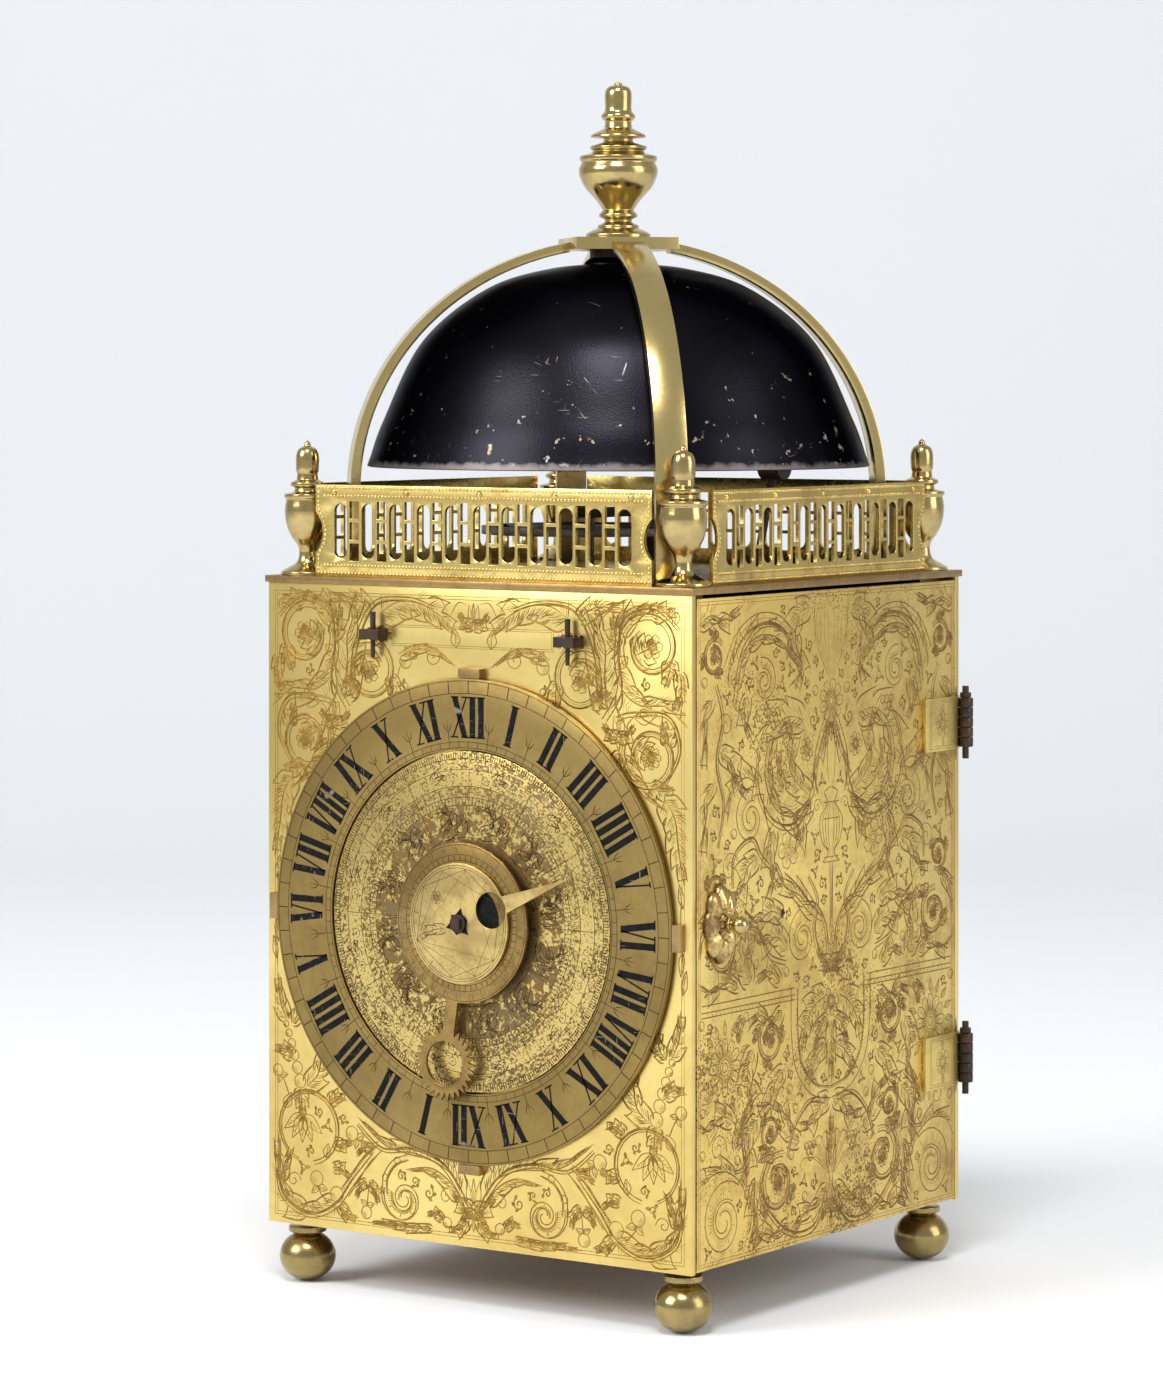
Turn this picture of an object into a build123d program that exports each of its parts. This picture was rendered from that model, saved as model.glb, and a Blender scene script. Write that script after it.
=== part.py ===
from build123d import *
import math
import os

# Astronomical table clock on a posted frame. All sizes in millimetres.
# The origin is on the ground under the middle of the case, the dial faces -Y and +Z is up.

# Case
case_w = 150.0
case_d = 148.0
foot_h = 17.9
plate_h = 189.6
plate_t = 2.0
door_t = 2.0
door_gap = 0.8
door_top_gap = 1.1
base_t = 3.0
top_t = 2.0
top_over = 0.8

# Corner posts and what screws onto them
post_w = 7.6
post_d = 12.0
post_inset = 5.4
spigot_r = 1.55
spigot_h = 1.8
ball_r = 8.4
ball_half_h = 7.4
collar_r = 5.6
collar_h = 1.9
finial_inset_x = 8.2
finial_inset_y = 8.2

# Dial
dial_z = 111.9
ring_r = 69.8
ring_inner_r = 49.4
ring_t = 1.4
ring_lift = 1.2
calendar_r = 48.9
calendar_t = 1.2
calendar_lift = 1.0
moon_age_r = 23.0
hand_t = 1.0
moon_r = 17.3
hand_gap = 0.4
sun_angle = 188.5
sun_dist = 41.2
sun_hole_r = 6.4
sun_ring_r = 8.4
sun_tip_r = 10.8
sun_teeth = 30
sun_arm_w = 4.0
pointer_angle = 68.5
pointer_len = 41.7
aperture_dist = 12.2
aperture_r = 5.2
dial_arbor_r = 1.6
pipe_wall = 1.0
pipe_play = 0.08
square_r = 1.5
square_len = 1.8

# Wheels behind the dial
dial_module = 1.0
sun_wheel_n = 61
sun_pinion_n = 10
calendar_wheel_n = 73
calendar_pinion_n = 12
moon_wheel_n = 101
moon_pinion_n = 16
dial_wheel_t = 1.6
dial_wheel_step = 4.4
dial_drive_x = -30.0

# Movement
movement_w = 112.0
movement_t = 2.5
dial_work_depth = 22.0
movement_back_gap = 28.0
strike_x = 30.0
barrel_drop = 45.0
barrel_r = 17.5
barrel_len = 32.0
fusee_big_r = 16.0
fusee_small_r = 8.0
groove_count = 7
arbor_r = 1.8
pivot_play = 0.06
pivot_r = 0.9
shoulder_gap = 0.2
leaf_over = 0.8
second_arbor_r = 1.5
fly_arbor_r = 1.2
great_n = 72
great_module = 0.85
great_t = 2.4
leaf_n = 8
second_n = 72
second_module = 0.75
second_t = 1.8
second_dx = 6.0
third_dx = 14.0
crown_r = 13.0
crown_wall = 1.6
crown_depth = 5.2
crown_teeth = 35
verge_r = 1.0
pallet_len = 2.4
pallet_play = 0.4
balance_r = 33.0
balance_rim_w = 3.0
balance_t = 2.4
balance_z = 221.0
balance_arm_w = 3.6
balance_hub_r = 4.4
cock_half_w = 5.0
cock_arm_half_w = 3.4
cock_arm_t = 2.8
cock_reach = 8.0
pin_circle_r = 22.0
pin_count = 8
pin_r = 1.0
strike_pin_len = 3.2
fly_r = 10.0
fly_len = 18.0
count_n = 60
count_pinion_n = 10
count_module = 0.8
count_disc_r = 18.0
count_post_r = 2.0
count_wheel_t = 1.8
count_notch_w = 1.2
strike_blows = 78
winding_r = 2.4
winding_out = 6.3
winding_hole_r = 4.4

# Bell and its cage
bell_clear = 3.1
bell_h = 61.0
bell_wall = 2.2
bell_rim_z = 241.4
strap_w = 9.4
strap_t = 2.9
strap_clear = 5.37
crown_gap = 3.8
finial_belly_r = 6.9
strap_spring_z = 234.6
crown_half = 15.5
crown_t = 3.6
stud_r = 2.5
stud_hole_play = 0.1
crown_disc_r = 8.5
bell_nut_r = 6.0
bell_nut_t = 3.3
stud_below = 5.0
hammer_x = 48.0
hammer_z = 165.0
hammer_y = -13.8
hammer_head_r = 4.0
hammer_head_len = 7.0
hammer_gap = 1.6
hammer_head_up = 1.0
hammer_lift = 14.0
hammer_stem_r = 1.2
hammer_collar_r = 3.6
hammer_tail_len = 20.5
hammer_tail_turn = 199.0
hammer_slot_half = 3.2

# Main finial
finial_h = 46.9

# Gallery
fret_h = 27.0
fret_t = 1.2
fret_set = 3.5
fret_loops = 11
fret_border = 4.2
fret_bar = 1.0
fret_end_gap = 0.4
fret_notch_r = 8.0
fret_notch_out = 5.4
fret_notch_drop = 0.5
finial_foot_r = 7.9

# Plate studs and pins
stud_x = 34.5
stud_z = 193.3
stud_w = 7.0
stud_hh = 3.0
stud_out = 4.6
stud_play = 0.3
taper_len = 13.2
taper_big_r = 0.85
taper_small_r = 0.6

# Hinges and latches
hinge_zs = (61.2, 163.2)
knuckle_r = 2.3
knuckle_len = 15.0
hinge_pin_r = 1.0
hinge_play = 0.06
leaf_len = 19.0
leaf_h = 16.0
leaf_t = 1.2
pin_len = 22.0
knuckle_gap = 0.2
latch_inset = 14.0
latch_z = 114.8
latch_r = 1.5
latch_play = 0.08
boss_w = 17.0
boss_h = 23.0
boss_t = 3.4
knob_r = 2.5
knob_out = 7.0
tongue_len = 9.5
tongue_w = 4.0
tongue_t = 1.2
tongue_gap = 0.3
keeper_reach = 5.0
keeper_h = 12.0
keyhole_r = 1.1
keyhole_dy = 3.2
keyhole_dz = 5.6
door_hole_inset = 47.6
door_hole_z = 114.5
door_hole_r = 1.3

# Places that follow from the sizes
front_y = -case_d / 2
back_y = case_d / 2
base_z = foot_h
plate_top_z = base_z + plate_h
gallery_z = plate_top_z + top_t
inner_front_y = front_y + plate_t
inner_back_y = back_y - plate_t
post_x = case_w / 2 - post_inset - post_w / 2
finial_x = case_w / 2 - finial_inset_x
finial_y = case_d / 2 - finial_inset_y
latch_y = front_y + latch_inset
door_hole_y = front_y + door_hole_inset
strap_r = math.hypot(finial_x, finial_y) - finial_belly_r - strap_clear
strap_rise = bell_rim_z + bell_h + crown_gap + crown_t - strap_spring_z
bell_r = strap_r - strap_t - bell_clear
movement_front_y = front_y + dial_work_depth
movement_back_y = back_y - movement_back_gap
QUARTER = 90.0
CORNERS = [(-1, -1), (1, -1), (-1, 1), (1, 1)]
ring_front_y = front_y - ring_lift - ring_t
sun_front_y = ring_front_y - 3.4
moon_back_y = sun_front_y - hand_gap
moon_front_y = moon_back_y - hand_t
calendar_back_y = front_y - calendar_lift
square_tip_y = moon_front_y - square_len
dial_centre_a = dial_module * (sun_wheel_n + sun_pinion_n) / 2
drive_z = dial_z - math.sqrt(dial_centre_a ** 2 - dial_drive_x ** 2)
movement_back_face = movement_back_y + movement_t
movement_inner_y = movement_front_y + movement_t
movement_z0 = base_z + base_t


def save(name, shape):
    export_step(shape, f"parts/{name}.step")


def rod_y(x, z, y0, y1, radius):
    return Pos(x, (y0 + y1) / 2, z) * Rot(90, 0, 0) * Cylinder(radius, y1 - y0)


def rod_z(x, y, z0, z1, radius):
    return Pos(x, y, (z0 + z1) / 2) * Cylinder(radius, z1 - z0)


def rod_x(y, z, x0, x1, radius):
    return Pos((x0 + x1) / 2, y, z) * Rot(0, 90, 0) * Cylinder(radius, x1 - x0)


def block(x0, x1, y0, y1, z0, z1):
    return Pos((x0 + x1) / 2, (y0 + y1) / 2, (z0 + z1) / 2) * Box(x1 - x0, y1 - y0, z1 - z0)


def slab_y(sketch, x, z, y0, y1):
    """A flat outline drawn in X and Z about (x, z), from y0 back to y1."""
    plane = Plane(origin=(x, y1, z), x_dir=(1, 0, 0), z_dir=(0, -1, 0))
    return extrude(plane * sketch, amount=y1 - y0)


def turned(points, x=0.0, y=0.0):
    """A turned piece from (radius, height) points, about the vertical line at x, y."""
    outline = Polyline([(0, points[0][1])] + list(points) + [(0, points[-1][1])], close=True)
    face = make_face(Plane.XZ * outline)
    return Pos(x, y, 0) * revolve(face, axis=Axis.Z)


def polar(radius, angle):
    return (radius * math.cos(angle), radius * math.sin(angle))


def toothed(teeth, module, phase, root=1.15, tip=0.75, width=0.36, tip_width=0.17):
    """The outline of a wheel, with a tooth centred on the angle phase."""
    pitch_r = teeth * module / 2
    step = 2 * math.pi / teeth
    points = []
    for k in range(teeth):
        middle = phase + k * step
        points.append(polar(pitch_r - root * module, middle - step * width * 0.62))
        points.append(polar(pitch_r + tip * module, middle - step * tip_width / 2))
        points.append(polar(pitch_r + tip * module, middle + step * tip_width / 2))
        points.append(polar(pitch_r - root * module, middle + step * width * 0.62))
    return make_face(Polyline(points, close=True))


def mesh_phase(phase, teeth, direction, other_teeth):
    """The phase of a wheel that meshes with another at the angle direction from it."""
    behind = ((direction - phase) / (2 * math.pi / teeth)) % 1.0
    return direction + math.pi + (behind + 0.5) * 2 * math.pi / other_teeth


def spoked(outline, rim_r, hub_r, spokes, spoke_w):
    """Cuts the spaces between the spokes out of a wheel's outline."""
    ring = Circle(rim_r) - Circle(hub_r)
    for k in range(spokes):
        turn = 180.0 * k / (spokes / 2)
        ring -= Rot(0, 0, turn) * (Pos(rim_r / 2, 0) * Rectangle(rim_r * 1.2, spoke_w))
    return outline - ring


def clock_angle(degrees):
    """The angle in the dial plane of a direction counted clockwise from the top."""
    return math.radians(90.0 - degrees)


# Base plate, posts, feet and top plate
def base_plate():
    plate = block(-case_w / 2 + door_t, case_w / 2 - door_t, inner_front_y, inner_back_y,
                  base_z, base_z + base_t)
    for sx, sy in CORNERS:
        plate -= rod_z(sx * finial_x, sy * finial_y, base_z, base_z + base_t, spigot_r)
    return plate


def corner_post(sx, sy):
    y_out = sy * inner_back_y
    y_in = sy * (inner_back_y - post_d)
    return block(sx * post_x - post_w / 2, sx * post_x + post_w / 2, min(y_out, y_in),
                 max(y_out, y_in), base_z + base_t, plate_top_z)


def ball_foot(sx, sy):
    centre_z = spigot_h + ball_half_h
    ball = Pos(0, 0, centre_z) * scale(Sphere(ball_r), by=(1, 1, ball_half_h / ball_r))
    neck_z = base_z - collar_h
    foot = ball + rod_z(0, 0, neck_z, base_z, collar_r)
    foot += rod_z(0, 0, centre_z, base_z + base_t, spigot_r)
    foot += rod_z(0, 0, 0, centre_z, spigot_r)
    return Pos(sx * finial_x, sy * finial_y, 0) * foot


def verge_place():
    x = dial_drive_x + second_dx + third_dx
    return x, 0.0


def top_plate():
    plate = block(-case_w / 2 - top_over, case_w / 2 + top_over, front_y - top_over,
                  back_y + top_over, plate_top_z, gallery_z)
    x, y = verge_place()
    plate -= rod_z(x, y, plate_top_z, gallery_z, verge_r * 2)
    rise = gallery_z - hammer_z
    _, lean = hammer_line()
    slot_x0 = hammer_x + rise * math.tan(lean - math.radians(hammer_lift)) - 3.0
    slot_x1 = hammer_x + rise * math.tan(lean) + 3.0
    plate -= block(slot_x0, slot_x1, hammer_y - hammer_slot_half, hammer_y + hammer_slot_half,
                   plate_top_z, gallery_z)
    return plate


# Front and back plates
def front_plate():
    plate = block(-case_w / 2, case_w / 2, front_y, inner_front_y, base_z, plate_top_z)
    plate -= rod_y(0, dial_z, front_y, inner_front_y, pipe_outer(3) + 0.5)
    for side in (-1, 1):
        plate -= block(side * stud_x - stud_w / 2 - stud_play, side * stud_x + stud_w / 2 + stud_play,
                       front_y, inner_front_y, stud_z - stud_hh / 2 - stud_play,
                       stud_z + stud_hh / 2 + stud_play)
        inner_x = case_w / 2 - door_t - tongue_gap - tongue_t
        outer_x = case_w / 2 - door_t - tongue_gap
        plate += block(min(side * inner_x, side * outer_x), max(side * inner_x, side * outer_x),
                       inner_front_y, inner_front_y + keeper_reach,
                       latch_z - keeper_h / 2, latch_z + keeper_h / 2)
    return plate


def back_plate():
    plate = block(-case_w / 2, case_w / 2, inner_back_y, back_y, base_z, plate_top_z)
    for x in (dial_drive_x, strike_x):
        plate -= rod_y(x, drive_z, inner_back_y, back_y, winding_hole_r)
    return plate


# Doors with hinges and latches
door_front_y = inner_front_y + door_gap
door_back_y = inner_back_y - 0.4
hinge_x = case_w / 2 + knuckle_r + 0.1
hinge_y = back_y
segment = knuckle_len / 5


def sided(side, shape):
    """The piece as drawn for the right side, or its mirror image on the left."""
    return shape if side > 0 else mirror(shape, Plane.YZ)


def door(side):
    z0 = base_z + 0.5
    z1 = plate_top_z - door_top_gap
    leaf = block(case_w / 2 - door_t, case_w / 2, door_front_y, door_back_y, z0, z1)
    leaf -= rod_x(latch_y, latch_z, case_w / 2 - door_t, case_w / 2, latch_r + latch_play)
    leaf -= rod_x(door_hole_y, door_hole_z, case_w / 2 - door_t, case_w / 2, door_hole_r)
    return sided(side, leaf)


def knuckles(z, which):
    """The hinge tubes of one leaf: 0 for the outer three, 1 for the two between."""
    tubes = []
    for k in range(which, 5, 2):
        z0 = z - knuckle_len / 2 + k * segment + knuckle_gap / 2
        z1 = z0 + segment - knuckle_gap
        tubes.append((z0, z1))
    return tubes


def door_hinge_leaf(side, z):
    x0 = case_w / 2
    leaf_end = hinge_y - knuckle_r - 0.4
    leaf = block(x0, x0 + leaf_t, leaf_end - leaf_len, leaf_end, z - leaf_h / 2, z + leaf_h / 2)
    for z0, z1 in knuckles(z, 1):
        leaf += block(x0, x0 + leaf_t, leaf_end, hinge_y, z0, z1)
        leaf += rod_z(hinge_x, hinge_y, z0, z1, knuckle_r)
    for z0, z1 in knuckles(z, 1):
        leaf -= rod_z(hinge_x, hinge_y, z0, z1, hinge_pin_r + hinge_play)
    return sided(side, leaf)


def fixed_hinge_leaf(side, z):
    leaf_end = hinge_x - knuckle_r - 0.4
    leaf = block(leaf_end - leaf_len * 0.7, leaf_end, back_y, back_y + leaf_t,
                 z - leaf_h / 2, z + leaf_h / 2)
    for z0, z1 in knuckles(z, 0):
        leaf += block(leaf_end, hinge_x, back_y, back_y + leaf_t, z0, z1)
        leaf += rod_z(hinge_x, hinge_y, z0, z1, knuckle_r)
    for z0, z1 in knuckles(z, 0):
        leaf -= rod_z(hinge_x, hinge_y, z0, z1, hinge_pin_r + hinge_play)
    return sided(side, leaf)


def hinge_pin(side, z):
    pin = rod_z(hinge_x, hinge_y, z - pin_len / 2, z + pin_len / 2, hinge_pin_r)
    head_z = z + knuckle_len / 2 + 0.1
    pin += rod_z(hinge_x, hinge_y, head_z, head_z + 1.4, hinge_pin_r * 1.7)
    return sided(side, pin)


def latch_escutcheon(side):
    x0 = case_w / 2
    plane = Plane(origin=(x0, latch_y, latch_z), x_dir=(0, 1, 0), z_dir=(1, 0, 0))
    low = extrude(plane * Ellipse(boss_w / 2, boss_h / 2), amount=boss_t * 0.5)
    mid_plane = Plane(origin=(x0 + boss_t * 0.5, latch_y, latch_z), x_dir=(0, 1, 0), z_dir=(1, 0, 0))
    high = extrude(mid_plane * Ellipse(boss_w * 0.34, boss_h * 0.36), amount=boss_t * 0.5)
    boss = low + high
    boss -= rod_x(latch_y, latch_z, x0, x0 + boss_t, latch_r + latch_play)
    boss -= rod_x(latch_y - keyhole_dy, latch_z - keyhole_dz, x0, x0 + boss_t, keyhole_r)
    return sided(side, boss)


def latch_knob(side):
    x0 = case_w / 2
    tongue_x1 = x0 - door_t - 2 * tongue_gap - tongue_t
    tongue_x0 = tongue_x1 - tongue_t
    knob = rod_x(latch_y, latch_z, tongue_x0, x0 + knob_out, latch_r)
    knob += Pos(x0 + knob_out, latch_y, latch_z) * Sphere(knob_r)
    knob += rod_x(latch_y, latch_z, x0 + boss_t + 0.2, x0 + boss_t + 1.2, latch_r + 0.8)
    knob += block(tongue_x0, tongue_x1, latch_y - tongue_w / 2, latch_y + tongue_w / 2,
                  latch_z - tongue_len, latch_z + tongue_w / 2)
    return sided(side, knob)


# Gallery of four frets and the corner finials
def fret_outline(length):
    pitch = (length - 2 * fret_border) / fret_loops
    sheet = Rectangle(length, fret_h)
    inner_h = fret_h - 2 * fret_border
    loop_w = pitch * 0.46
    for k in range(fret_loops):
        x = (k - (fret_loops - 1) / 2) * pitch
        sheet -= Pos(x, 0) * SlotCenterToCenter(inner_h * 0.66 - loop_w * 0.2, loop_w, rotation=90)
    gap_w = pitch - loop_w - 2 * fret_bar
    bar_step = inner_h / 3
    for k in range(fret_loops - 1):
        x = (k - (fret_loops - 2) / 2) * pitch
        for row in (-1, 0, 1):
            sheet -= Pos(x, row * bar_step) * Rectangle(gap_w, bar_step - fret_bar)
    for side in (-1, 1):
        notch = Pos(side * (length / 2 + fret_notch_out), -fret_notch_drop) * Circle(fret_notch_r)
        sheet -= notch
    return sheet


def fret(length):
    return slab_y(fret_outline(length), 0, gallery_z + fret_h / 2, -fret_t / 2, fret_t / 2)


front_fret_half = finial_x - math.sqrt(finial_foot_r ** 2 - (finial_inset_y - fret_set - fret_t / 2) ** 2)
side_fret_half = finial_y - math.sqrt(finial_foot_r ** 2 - (finial_inset_x - fret_set - fret_t / 2) ** 2)
front_fret_len = 2 * (front_fret_half - fret_end_gap)
side_fret_len = 2 * (side_fret_half - fret_end_gap)


def corner_finial(sx, sy):
    z = gallery_z
    points = [(finial_foot_r, z), (finial_foot_r, z + 1.0), (6.2, z + 2.0), (3.4, z + 3.4), (2.6, z + 5.0),
              (2.0, z + 7.6), (2.2, z + 8.6), (3.7, z + 10.8), (5.9, z + 14.0),
              (finial_belly_r, z + 17.8),
              (6.8, z + 21.0), (6.0, z + 22.6), (6.9, z + 23.0), (6.9, z + 24.0), (4.0, z + 24.6),
              (3.7, z + 25.8), (5.0, z + 26.4), (5.0, z + 27.4), (3.2, z + 28.2), (3.0, z + 30.2),
              (3.4, z + 30.8), (3.5, z + 35.4), (2.7, z + 37.4), (1.0, z + 38.2), (0.9, z + 39.2),
              (0.4, z + 39.9)]
    return turned(points, sx * finial_x, sy * finial_y)


# Bell, its four straps and the main finial
def bell_outline(radius, height, base):
    points = [(radius, base), (radius * 0.934, base + height * 0.225),
              (radius * 0.78, base + height * 0.612), (radius * 0.53, base + height * 0.868),
              (radius * 0.27, base + height * 0.972), (0, base + height)]
    return points


def bell():
    outer = bell_outline(bell_r, bell_h, bell_rim_z)
    inner = bell_outline(bell_r - bell_wall, bell_h - bell_wall, bell_rim_z)
    outer_line = Spline(outer, tangents=[(-0.25, 1), (-1, 0)])
    inner_line = Spline(inner, tangents=[(-0.25, 1), (-1, 0)])
    rim = Line(outer[0], inner[0])
    top = Line(outer[-1], inner[-1])
    face = make_face(Plane.XZ * Curve([outer_line, top, inner_line, rim]))
    shell = revolve(face, axis=Axis.Z)
    hole_z = bell_rim_z + bell_h
    shell -= rod_z(0, 0, hole_z - bell_wall * 2, hole_z + 1, stud_r + stud_hole_play)
    return shell


crown_top_z = strap_spring_z + strap_rise
crown_bottom_z = crown_top_z - crown_t


def bell_strap(sx, sy):
    """An arch from the top plate to the crown, bent round the bell on a diagonal."""
    outer = EllipticalCenterArc((0, strap_spring_z), strap_r, strap_rise, start_angle=0, arc_size=QUARTER)
    inner = EllipticalCenterArc((0, strap_spring_z), strap_r - strap_t, strap_rise - strap_t,
                                start_angle=0, arc_size=QUARTER)
    foot = Polyline([(strap_r, strap_spring_z), (strap_r, gallery_z),
                     (strap_r - strap_t, gallery_z), (strap_r - strap_t, strap_spring_z)])
    top = Line((0, crown_top_z), (0, crown_top_z - strap_t))
    face = make_face(Plane.XZ * Curve([outer, foot, inner, top]))
    arch = extrude(face, amount=strap_w / 2, both=True)
    arch -= block(-crown_half - 1, crown_half, -crown_half, crown_half, crown_bottom_z - 2,
                  crown_top_z + 1)
    arch -= block(-1, crown_half, -crown_half, crown_half, crown_bottom_z - 8, crown_top_z + 1)
    angle = math.degrees(math.atan2(sy, sx))
    return Rot(0, 0, angle) * arch


def strap_crown():
    cross = Pos(0, 0, (crown_bottom_z + crown_top_z) / 2) * Rot(0, 0, 45) * Box(
        2 * crown_half, 2 * crown_half, crown_t)
    cross -= rod_z(0, 0, crown_bottom_z, crown_top_z, stud_r + stud_hole_play)
    return cross


def main_finial():
    z = crown_top_z
    points = [(9.7, z), (9.7, z + 1.2), (8.6, z + 2.0), (6.2, z + 3.0), (6.2, z + 3.8),
              (4.1, z + 4.8), (4.1, z + 5.6), (5.8, z + 6.4), (5.8, z + 7.2), (4.6, z + 8.4),
              (6.4, z + 11.2), (10.2, z + 15.2), (11.8, z + 18.8), (11.9, z + 20.8),
              (11.0, z + 22.8), (11.6, z + 23.4), (11.6, z + 24.6), (8.0, z + 25.6),
              (7.6, z + 26.2), (8.5, z + 26.8), (8.5, z + 27.6), (4.5, z + 28.8), (4.4, z + 29.8),
              (8.3, z + 30.2), (8.2, z + 31.0), (4.2, z + 33.0), (3.9, z + 35.0), (5.1, z + 36.0),
              (5.1, z + 37.0), (3.9, z + 38.2), (4.1, z + 43.8), (3.2, z + 45.4),
              (1.2, z + finial_h - 0.9), (1.1, z + finial_h - 0.3), (0.4, z + finial_h)]
    return turned(points)


def bell_stud():
    z0 = bell_rim_z + bell_h - bell_wall - stud_below
    stud = rod_z(0, 0, z0, crown_top_z, stud_r)
    stud += rod_z(0, 0, bell_rim_z + bell_h, crown_bottom_z, crown_disc_r)
    nut_top = bell_rim_z + bell_h - bell_wall - stud_hole_play
    nut = rod_z(0, 0, nut_top - bell_nut_t, nut_top, bell_nut_r)
    return stud + nut


def hammer_line():
    """Where the hammer's head ends towards the bell, and how far its stem leans."""
    inner_r = (bell_r - bell_wall) * 0.975
    reach = math.sqrt(inner_r ** 2 - (abs(hammer_y) + hammer_head_r) ** 2)
    head_x1 = reach - hammer_gap
    run = head_x1 - hammer_head_len / 2 - hammer_x
    return head_x1, math.atan2(run, bell_rim_z + hammer_head_up - hammer_z)


def hammer():
    head_z = bell_rim_z + hammer_head_up
    head_x1, lean = hammer_line()
    head = rod_x(hammer_y, head_z, head_x1 - hammer_head_len, head_x1, hammer_head_r)
    foot = (hammer_x, hammer_z)
    length = (head_z - hammer_z) / math.cos(lean)
    stem = Pos(foot[0], hammer_y, foot[1]) * Rot(0, math.degrees(lean), 0) * Pos(
        0, 0, length / 2) * Cylinder(hammer_stem_r, length)
    collar = rod_y(hammer_x, hammer_z, hammer_y - 2.0, hammer_y + 2.0, hammer_collar_r)
    tail = Pos(foot[0], hammer_y, foot[1]) * Rot(0, hammer_tail_turn, 0) * Pos(
        0, 0, hammer_tail_len / 2) * Box(3.0, 2.4, hammer_tail_len)
    arbor = rod_y(hammer_x, hammer_z, movement_inner_y + shoulder_gap,
                  movement_back_y - shoulder_gap, arbor_r)
    arbor += rod_y(hammer_x, hammer_z, movement_front_y, movement_back_face, pivot_r)
    return head + stem + collar + tail + arbor


# Studs and pins that hold the front plate
def front_plate_stud(side):
    stud = block(side * stud_x - stud_w / 2, side * stud_x + stud_w / 2, front_y - stud_out,
                 movement_front_y, stud_z - stud_hh / 2, stud_z + stud_hh / 2)
    y = front_y - stud_out / 2
    return stud - taper_hole(side, y)


def taper_solid(side, y, play):
    x = side * stud_x
    z0 = stud_z - taper_len / 2
    return Pos(x, y, z0 + taper_len / 2) * Cone(taper_small_r + play, taper_big_r + play, taper_len)


def taper_hole(side, y):
    return taper_solid(side, y, 0.05)


def taper_pin(side):
    return taper_solid(side, front_y - stud_out / 2, 0.0)


# Dial
def chapter_ring():
    outline = Circle(ring_r) - Circle(ring_inner_r)
    return slab_y(outline, 0, dial_z, ring_front_y, ring_front_y + ring_t)


def ring_lug(degrees):
    """A block at the edge of the ring with a step that the ring rests on."""
    under = Pos(0, ring_r - 1.0) * Rectangle(7.6, 6.0)
    lip = Pos(0, ring_r + 1.5) * Rectangle(7.6, 2.8)
    turn = Rot(0, 0, -degrees)
    lug = slab_y(turn * under, 0, dial_z, front_y - ring_lift, front_y)
    lug += slab_y(turn * lip, 0, dial_z, front_y - ring_lift - ring_t * 0.9, front_y)
    return lug


def pipe_outer(layer):
    """The outer radius of the pipes round the centre arbor: 1 moon, 2 sun, 3 calendar."""
    return dial_arbor_r + layer * (pipe_play + pipe_wall)


def pipe(layer, y0, y1):
    outer = pipe_outer(layer)
    inner = outer - pipe_wall
    return slab_y(Circle(outer) - Circle(inner), 0, dial_z, y0, y1)


wheel_y = [inner_front_y + 2.0 + k * dial_wheel_step for k in range(3)]


def dial_body(outline, y0, y1, layer, wheel_index):
    disc = slab_y(outline - Circle(pipe_outer(layer) - pipe_wall), 0, dial_z, y0, y1)
    return disc + pipe(layer, y1, wheel_y[wheel_index])


def calendar_disc():
    return dial_body(Circle(calendar_r), calendar_back_y - calendar_t, calendar_back_y, 3, 0)


def sun_hand():
    angle = clock_angle(sun_angle)
    outline = Circle(moon_age_r)
    centre = polar(sun_dist, angle)
    step = 2 * math.pi / sun_teeth
    points = []
    for k in range(sun_teeth):
        points.append(polar(sun_ring_r, (k - 0.5) * step))
        points.append(polar(sun_tip_r, k * step))
    face = Pos(*centre) * make_face(Polyline(points, close=True))
    arm_mid = polar((moon_age_r - 2 + sun_dist - sun_hole_r) / 2, angle)
    arm_len = sun_dist - sun_hole_r - 0.4 - (moon_age_r - 2)
    arm = Pos(*arm_mid) * Rot(0, 0, math.degrees(angle)) * Rectangle(arm_len, sun_arm_w)
    outline = outline + arm + face - Pos(*centre) * Circle(sun_hole_r)
    return dial_body(outline, sun_front_y, sun_front_y + hand_t, 2, 1)


def moon_disc():
    angle = clock_angle(pointer_angle)
    half_w = 2.6
    side = angle + math.pi / 2
    root = polar(moon_r - 1.5, angle)
    off = polar(half_w, side)
    tip = polar(pointer_len, angle)
    hand = make_face(Polyline([(root[0] + off[0], root[1] + off[1]), tip,
                               (root[0] - off[0], root[1] - off[1])], close=True))
    outline = Circle(moon_r) + hand - Pos(*polar(aperture_dist, angle)) * Circle(aperture_r)
    return dial_body(outline, moon_front_y, moon_back_y, 1, 2)


def centre_arbor():
    arbor = rod_y(0, dial_z, moon_front_y, movement_front_y, dial_arbor_r)
    nose = slab_y(Rectangle(square_r * 2, square_r * 2), 0, dial_z, square_tip_y, moon_front_y)
    collar = rod_y(0, dial_z, moon_front_y - 0.7, moon_front_y - 0.1, 2.6)
    return arbor + nose + collar


# Wheels behind the dial
drive_angle = math.atan2(dial_z - drive_z, -dial_drive_x)
great_phase = math.radians(90.0)
DIAL_PAIRS = [(calendar_wheel_n, calendar_pinion_n), (sun_wheel_n, sun_pinion_n),
              (moon_wheel_n, moon_pinion_n)]


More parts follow.
